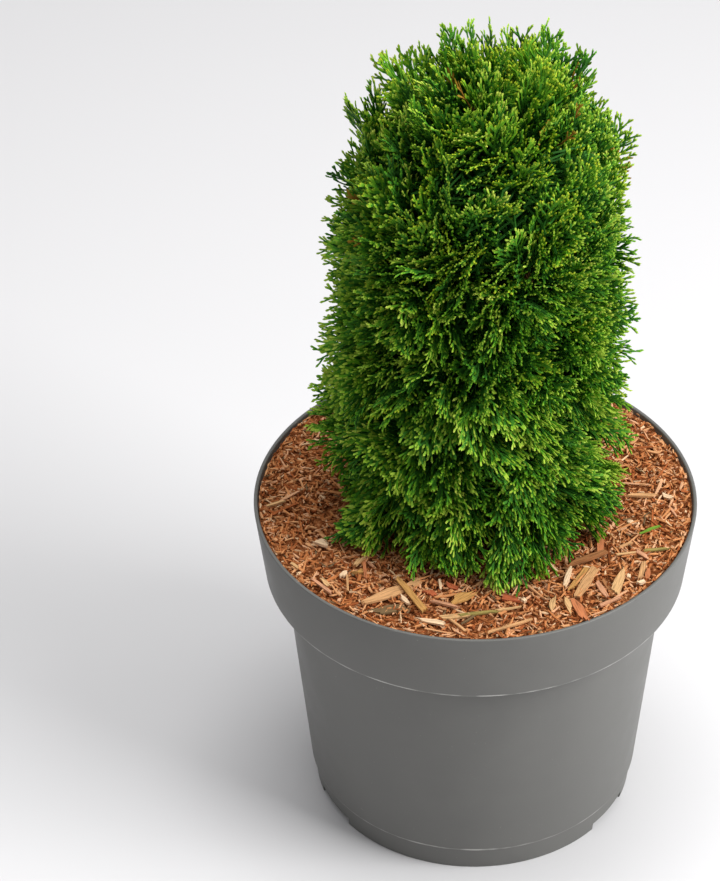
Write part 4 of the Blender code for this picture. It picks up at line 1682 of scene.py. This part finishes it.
@dataclass(frozen=True)
class Foliage:
    """The sizes of the foliage: its plumes, its shells of sprays and the forms that stand out."""

    crown: Crown
    bed: MulchBed
    plume_count: int = 210
    plume_stand_out: Point = (-0.0036, 0.0036)
    plume_jitter: Point = (0.04, 0.0020)
    plume_clearance: float = 0.0130
    plume_depth: float = 0.042
    plume_radius: float = 0.0125
    plume_dome: float = 0.0052
    plume_lean: float = 0.20
    plume_roll: float = 1.4
    plume_freshness: float = 0.12
    spray_roll: float = 0.38
    core_count: int = 760
    core_depth: float = -0.0340
    floor_gap: float = 0.0020
    ceiling: float = 0.4620
    patterns: int = 12
    shells: tuple[Shell, ...] = (
        Shell(1080, 0.0, 0.0012, 0.0022, 1.0, OUTER_MIXTURE, (LONG_SPRAY, SHORT_SPRAY)),
        Shell(520, 1.1, -0.0060, 0.0022, 0.6, MIDDLE_MIXTURE, (LONG_SPRAY, SHORT_SPRAY)),
        Shell(440, 2.3, -0.0120, 0.0025, 0.3, INNER_MIXTURE, (INNER_SPRAY, INNER_SPRAY)),
        Shell(420, 3.1, -0.0185, 0.0030, 0.2, CORE_MIXTURE, (INNER_SPRAY, INNER_SPRAY)),
    )
    hem_count: int = 120
    hem_heights: Point = (0.1835, 0.1930)
    hem_depth: Point = (-0.0090, -0.0025)
    tufts: tuple[tuple[float, float, float], ...] = (
        (-5, 0.306, 0.0010),
        (-5, 0.326, -0.0055),
        (-4, 0.342, 0.0035),
        (-4, 0.368, -0.0055),
        (4, 0.390, -0.0240),
        (7, 0.406, 0.0020),
        (14, 0.424, -0.0025),
        (22, 0.434, 0.0060),
        (40, 0.443, 0.0070),
        (63, 0.448, 0.0010),
        (77, 0.449, -0.0010),
        (91, 0.449, 0.0030),
        (112, 0.448, 0.0050),
        (135, 0.445, -0.0220),
        (150, 0.434, 0.0095),
        (158, 0.424, 0.0025),
        (169, 0.404, -0.0110),
        (174, 0.388, -0.0025),
        (176, 0.365, 0.0010),
        (178, 0.342, 0.0030),
        (179, 0.312, -0.0020),
        (179, 0.285, 0.0035),
        (179, 0.252, 0.0045),
        (-177, 0.234, 0.0110),
        (-176, 0.208, -0.0045),
        (-177, 0.191, -0.0170),
        (-163, 0.190, -0.0065),
        (-146, 0.190, 0.0105),
        (-135, 0.190, 0.0045),
        (-125, 0.190, -0.0020),
        (-115, 0.190, 0.0035),
        (-103, 0.190, 0.0008),
        (-90, 0.190, 0.0045),
        (-77, 0.190, 0.0150),
        (-68, 0.190, 0.0140),
        (-54, 0.190, 0.0090),
        (-40, 0.190, 0.0000),
        (-28, 0.190, 0.0105),
        (-17, 0.192, 0.0110),
        (-10, 0.210, 0.0095),
        (-9, 0.225, 0.0045),
        (-10, 0.249, 0.0040),
        (-8, 0.262, -0.0010),
        (-7, 0.278, -0.0060),
    )
    strays: tuple[tuple[float, float, float], ...] = (
        (165, 0.416, 0.0110),
        (164, 0.413, 0.0080),
        (166, 0.412, 0.0060),
        (7, 0.403, 0.0060),
        (-1, 0.383, -0.0025),
        (-6, 0.302, 0.0035),
    )
    withered_depth: float = 0.0005
    withered: tuple[tuple[float, float], ...] = (
        (-156, 0.4560),
        (-129, 0.4550),
        (21, 0.4410),
        (-2, 0.4442),
        (-24, 0.4418),
        (-40, 0.4345),
        (-163, 0.3928),
        (-154, 0.3711),
    )

    def plumes(self, masses: Sequence[Mass]) -> list[Plume]:
        """Lays out the plumes about where the CAD nodes' sprays are, each on its nearest mass."""
        rng = random.Random(21)
        tufts = [(math.radians(heading), height, out) for heading, height, out in self.tufts]
        kept = [self.crown.tip(around, height, 0)[0] for around, height, _ in tufts]
        spots = []
        for around, height in self.crown.spots(self.plume_count):
            around += rng.gauss(0, self.plume_jitter[0])
            height = self.crown.keep_in(height + rng.gauss(0, self.plume_jitter[1]))
            spot, _ = self.crown.tip(around, height, 0)
            if min((spot - tuft).length for tuft in kept) > self.plume_clearance:
                spots.append((around, height, rng.uniform(*self.plume_stand_out)))
        found = []
        for around, height, stand_out in spots + tufts:
            spot, growth = self.crown.tip(around, height, 0)
            tip = spot + growth * stand_out
            mass = min(masses, key=lambda one: (one.centre - tip).length)
            lean = Vector([rng.gauss(0, self.plume_lean) for _ in range(3)])
            heading = ((tip - mass.centre).normalized() * 0.5 + growth + lean).normalized()
            hub = tip - heading * self.plume_depth
            roll = rng.uniform(-self.plume_roll, self.plume_roll)
            freshness = rng.gauss(0, self.plume_freshness)
            found.append(Plume(spot, heading, hub, mass, stand_out, roll, freshness))
        return found


class Growth:
    """The foliage while it grows: its plumes, and the heap of each mass and tier."""

    def __init__(self, foliage: Foliage, masses: Sequence[Mass]) -> None:
        """Lays out the plumes and starts with no sprays.

        Args:
            foliage: The foliage's sizes.
            masses: The masses that the sprays belong to.
        """
        self.foliage = foliage
        self.crown = foliage.crown
        self.masses = masses
        self.rng = random.Random(8)
        self.plumes = foliage.plumes(masses)
        self.spots = np.array([plume.spot for plume in self.plumes])
        self.heaps = {mass.name: Heap() for mass in masses}
        self.twigs = {mass.tier: Twigs() for mass in masses}
        kinds = (LONG_SPRAY, SHORT_SPRAY, INNER_SPRAY, CORE_SPRAY, WITHERED_SPRAY)
        self.patterns = {
            kind: [kind.pattern(seed + 100 * place) for seed in range(foliage.patterns)]
            for place, kind in enumerate(kinds)
        }

    def build(self) -> None:
        """Grows every layer, then makes one piece of each mass and of each tier's twigs."""
        for plume in self.plumes:
            self.twigs[plume.mass.tier].limb(plume.mass.centre, plume.hub, plume.heading)
        for shell in self.foliage.shells:
            self.grow_shell(shell)
        self.grow_strays()
        self.grow_hem()
        self.grow_core()
        self.grow_withered()
        materials = [leaf.value.material() for leaf in Leaf]
        for mass in self.masses:
            sprays = self.heaps[mass.name].to_object(mass.name.replace("foliage", "sprays"), False)
            dress(sprays, *materials)
            hand_over(sprays, "foliage", mass.name)
        bark = PlainTone("twig_bark", (0.105, 0.052, 0.018), 0.85, 0.1).material()
        for tier, twigs in self.twigs.items():
            twigs.build("twigs_" + tier, bark)

    def nearest(self, spot: Vector) -> tuple[Plume, float]:
        """Returns the plume that is nearest to a place, and how far it is."""
        away = np.linalg.norm(self.spots - np.array(spot), axis=1)
        index = int(away.argmin())
        return self.plumes[index], float(away[index])

    def grow_shell(self, shell: Shell) -> None:
        """Grows one shell of sprays, which bulge where a plume is and sink between plumes."""
        for around, height in self.crown.spots(shell.count):
            around += shell.turn + self.rng.gauss(0, 0.05)
            height = self.crown.keep_in(height + self.rng.gauss(0, 0.0015))
            spot, growth = self.crown.tip(around, height, 0)
            plume, away = self.nearest(spot)
            fall = min(1.6, (away / self.foliage.plume_radius) ** 2)
            bulge = plume.stand_out - self.foliage.plume_dome * fall
            out = shell.depth + shell.bulge * bulge + self.rng.gauss(0, shell.scatter)
            share = self.crown.share(height)
            kind = shell.kinds[int(self.rng.random() < (share - 0.30) * 2.2)]
            greens = shell.mixture.pick(share + plume.freshness, self.rng)
            self.spray(kind, spot + growth * out, growth, plume, greens)

    def grow_strays(self) -> None:
        """Grows the single sprays that stick out of the outline."""
        for heading, height, stand_out in self.foliage.strays:
            spot, growth = self.crown.tip(math.radians(heading), height, 0)
            plume, _ = self.nearest(spot)
            self.spray(SHORT_SPRAY, spot + growth * stand_out, growth, plume, Greens.GREEN)

    def grow_core(self) -> None:
        """Lays sprays in the darkest greens, which are painted shade, flat against the crown's inside, so that no sky
        shows through.
        """
        for around, height in self.crown.spots(self.foliage.core_count):
            middle, growth = self.crown.tip(around, height, self.foliage.core_depth)
            mass = min(self.masses, key=lambda one: (one.centre - middle).length)
            along = growth.cross(UP.cross(growth)) if growth.z < 0.95 else growth.orthogonal()
            heading = Matrix.Rotation(self.rng.gauss(0, 0.7), 3, growth) @ along.normalized()
            basis = np.array((heading.cross(growth).normalized(), heading, growth)).T
            pattern = self.rng.choice(self.patterns[CORE_SPRAY])
            points = pattern.points @ basis.T + np.array(middle - heading * 0.018)
            # The core's darkest greens are painted shade.
            self.add(self.heaps[mass.name], pattern, points, Greens.BURIED)

    def grow_hem(self) -> None:
        """Grows a row of low sprays that closes the crown's lower edge above the mulch."""
        foliage = self.foliage
        for index in range(foliage.hem_count):
            around = 2 * math.pi * index / foliage.hem_count + self.rng.gauss(0, 0.02)
            spot, growth = self.crown.tip(around, self.rng.uniform(*foliage.hem_heights), 0)
            plume, _ = self.nearest(spot)
            out = plume.stand_out + self.rng.uniform(*foliage.hem_depth)
            # The hem lies a little inside the outline and takes the middle shell's darker greens: painted shade.
            greens = MIDDLE_MIXTURE.pick(plume.freshness, self.rng)
            self.spray(LONG_SPRAY, spot + growth * out, growth, plume, greens)

    def grow_withered(self) -> None:
        """Grows the few brown, withered sprigs that show between the sprays."""
        for heading, height in self.foliage.withered:
            depth = -self.foliage.withered_depth
            spot, growth = self.crown.tip(math.radians(heading), height, depth)
            plume, _ = self.nearest(spot)
            self.spray(WITHERED_SPRAY, spot, growth, plume, Greens.WITHERED)

    def spray(
        self, kind: SprayKind, tip: Vector, growth: Vector, plume: Plume, greens: Greens
    ) -> None:
        """Places one spray with its tip at a point, and its foot on a twig of its plume.

        Args:
            kind: The kind of spray.
            tip: Where its tip is.
            growth: The direction in which sprays grow there.
            plume: The plume that it belongs to.
            greens: Its greens.
        """
        rng = self.rng
        pattern = rng.choice(self.patterns[kind])
        heading = ((tip - plume.hub).normalized() * 0.8 + growth * 0.2).normalized()
        side = heading.cross(UP + Vector((0.01, 0, 0))).normalized()
        roll = plume.roll + rng.gauss(0, self.foliage.spray_roll)
        normal = Matrix.Rotation(roll, 3, heading) @ side
        across = heading.cross(normal)
        size = rng.uniform(0.88, 1.08)
        basis = np.array((across, heading, normal)).T * size
        droop = UP * (0.0065 * self.crown.share(tip.z) - 0.0035 + rng.gauss(0, 0.0012))
        length = pattern.points[:, 1].max() * size
        foot = tip - heading * length - droop
        points = pattern.points @ basis.T + np.array(foot)
        points += np.array(droop) * (pattern.along**2)[:, None]
        rise = self.room(tip, points)
        points[:, 2] += rise
        self.add(self.heaps[plume.mass.name], pattern, points, greens)
        self.twigs[plume.mass.tier].limb(plume.hub, foot + UP * rise, heading)

    def room(self, tip: Vector, points: np.ndarray) -> float:
        """Returns how far a spray must rise or sink to lie between the mulch and the ceiling."""
        floor = self.foliage.bed.height(tip.x, tip.y) + self.foliage.floor_gap
        return max(0, floor - points[:, 2].min()) - max(0, points[:, 2].max() - self.foliage.ceiling)

    def add(
        self, heap: Heap, pattern: FrozenPattern, points: np.ndarray, greens: Greens
    ) -> None:
        """Adds a spray to a heap, with the material slot of each role's green."""
        order = list(Leaf)
        heap.add(pattern, points, [order.index(leaf) for leaf in greens.value])


class Twigs:
    """The thin limbs of one tier, gathered into one piece."""

    SIDES = 3
    STEPS = 3
    RADIUS = 0.0009
    TIP_RADIUS = 0.0006

    def __init__(self) -> None:
        """Starts with no twigs."""
        self.heap = Heap()

    def limb(self, start: Vector, end: Vector, heading: Vector) -> None:
        """Adds one tapering limb that ends in a given direction."""
        if (end - start).length < 0.002:
            return
        bend = end - heading * (end - start).length * 0.4
        pattern = Pattern()
        rings = []
        side = heading.orthogonal().normalized()
        other = heading.cross(side).normalized()
        for step in range(self.STEPS + 1):
            share = step / self.STEPS
            place = bezier(start, bend, end, share)
            radius = self.RADIUS + (self.TIP_RADIUS - self.RADIUS) * share
            turns = [2 * math.pi * index / self.SIDES for index in range(self.SIDES)]
            rings.append(
                pattern.ring(
                    [place + (side * math.cos(turn) + other * math.sin(turn)) * radius for turn in turns]
                )
            )
        for near, far in zip(rings, rings[1:]):
            pattern.band(near, far, 0)
        frozen = pattern.freeze()
        self.heap.add(frozen, frozen.points, (0,))

    def build(self, name: str, bark: bpy.types.Material) -> None:
        """Makes the twigs one piece and dresses it."""
        twigs = self.heap.to_object(name, True)
        dress(twigs, bark)
        hand_over(twigs, "bark")


# The studio


@dataclass(frozen=True)
class Lamp:
    """One soft square light: where it is, how large and how strong."""

    name: str
    place: tuple[float, float, float]
    size: float
    power: float
    colour: Colour = (1, 1, 1)


@dataclass(frozen=True)
class Studio:
    """A pale floor, soft lights, and the camera at the photograph's angle."""

    target: Vector
    camera_place: tuple[float, float, float] = (-0.05965, -1.5187, 1.4086)
    camera_pitch: float = 0.6627
    camera_roll: float = -0.0143
    lens: float = 152.6
    floor_colour: Colour = (0.66, 0.655, 0.660)
    world_colour: Colour = (0.90, 0.90, 0.92)
    world_strength: float = 0.40
    lamps: tuple[Lamp, ...] = (
        Lamp("key", (1.32, -0.68, 1.45), 1.0, 40),
        Lamp("side", (1.7, -0.1, 0.55), 0.9, 9),
        Lamp("fill", (-1.0, -1.0, 1.9), 1.2, 1.6),
        Lamp("top", (0.0, 0.20, 1.9), 1.2, 23.5),
    )

    def build(self) -> None:
        """Builds the floor, the lights and the camera."""
        self.build_floor()
        for lamp in self.lamps:
            self.build_lamp(lamp)
        self.build_world()
        self.build_camera()
        bpy.context.scene.view_settings.view_transform = "Standard"

    def build_floor(self) -> None:
        """Lays the floor."""
        deselect_all()
        bpy.ops.mesh.primitive_plane_add(size=30)
        floor = bpy.context.object
        floor.name = "floor"
        dress(floor, PlainTone("floor_finish", self.floor_colour, 0.7).material())
        floor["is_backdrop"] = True

    def build_lamp(self, lamp: Lamp) -> None:
        """Hangs one soft light that points at the plant."""
        light = bpy.data.lights.new(lamp.name, "AREA")
        light.shape = "SQUARE"
        light.size = lamp.size
        light.energy = lamp.power
        light.color = lamp.colour
        obj = new_object(lamp.name, light)
        obj.location = lamp.place
        obj.rotation_euler = (self.target - Vector(lamp.place)).to_track_quat("-Z", "Y").to_euler()

    def build_world(self) -> None:
        """Sets the even light from all around."""
        world = bpy.data.worlds.new("studio")
        world.use_nodes = True
        background = world.node_tree.nodes["Background"]
        background.inputs["Color"].default_value = (*self.world_colour, 1)
        background.inputs["Strength"].default_value = self.world_strength
        bpy.context.scene.world = world

    def build_camera(self) -> None:
        """Places the camera that was fitted to the photograph."""
        camera = bpy.data.cameras.new("camera")
        camera.lens = self.lens
        camera.sensor_width = 36
        camera.clip_start = 0.05
        obj = new_object("camera", camera)
        forward = Vector((0, math.cos(self.camera_pitch), -math.sin(self.camera_pitch)))
        level = Vector((1, 0, 0))
        above = level.cross(forward)
        turn = Matrix.Rotation(-self.camera_roll, 3, forward)
        basis = Matrix((turn @ level, turn @ above, -forward)).transposed()
        obj.matrix_world = Matrix.Translation(self.camera_place) @ basis.to_4x4()
        bpy.context.scene.camera = obj


def write_sizes() -> None:
    """Works out the CAD model's box and the visual model's box."""
    boxes = {
        name: [list(corner) for corner in box]
        for name, box in (("cad", cad_box), ("visual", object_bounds()))
    }


def main() -> None:
    """Builds the plant from the pot up, then the studio round it."""
    logging.basicConfig(level=logging.INFO, format="%(message)s")
    crown = Crown()
    pot = NurseryPot()
    pot.build()
    frame["nodes"]["soil"].material_slots[0].material = Earth().material()
    bed = MulchBed(pot)
    bed.build(crown)
    Shreds(pot, bed).build()
    LargeChips(bed).build()
    skeleton = Skeleton(crown)
    masses = skeleton.masses()
    bark = Bark().material()
    skeleton.build_trunk(bark)
    skeleton.build_boughs(masses, bark)
    Growth(Foliage(crown, bed), masses).build()
    low, high = cad_box
    Studio((low + high) / 2).build()
    write_sizes()


if __name__ == "__main__":
    main()
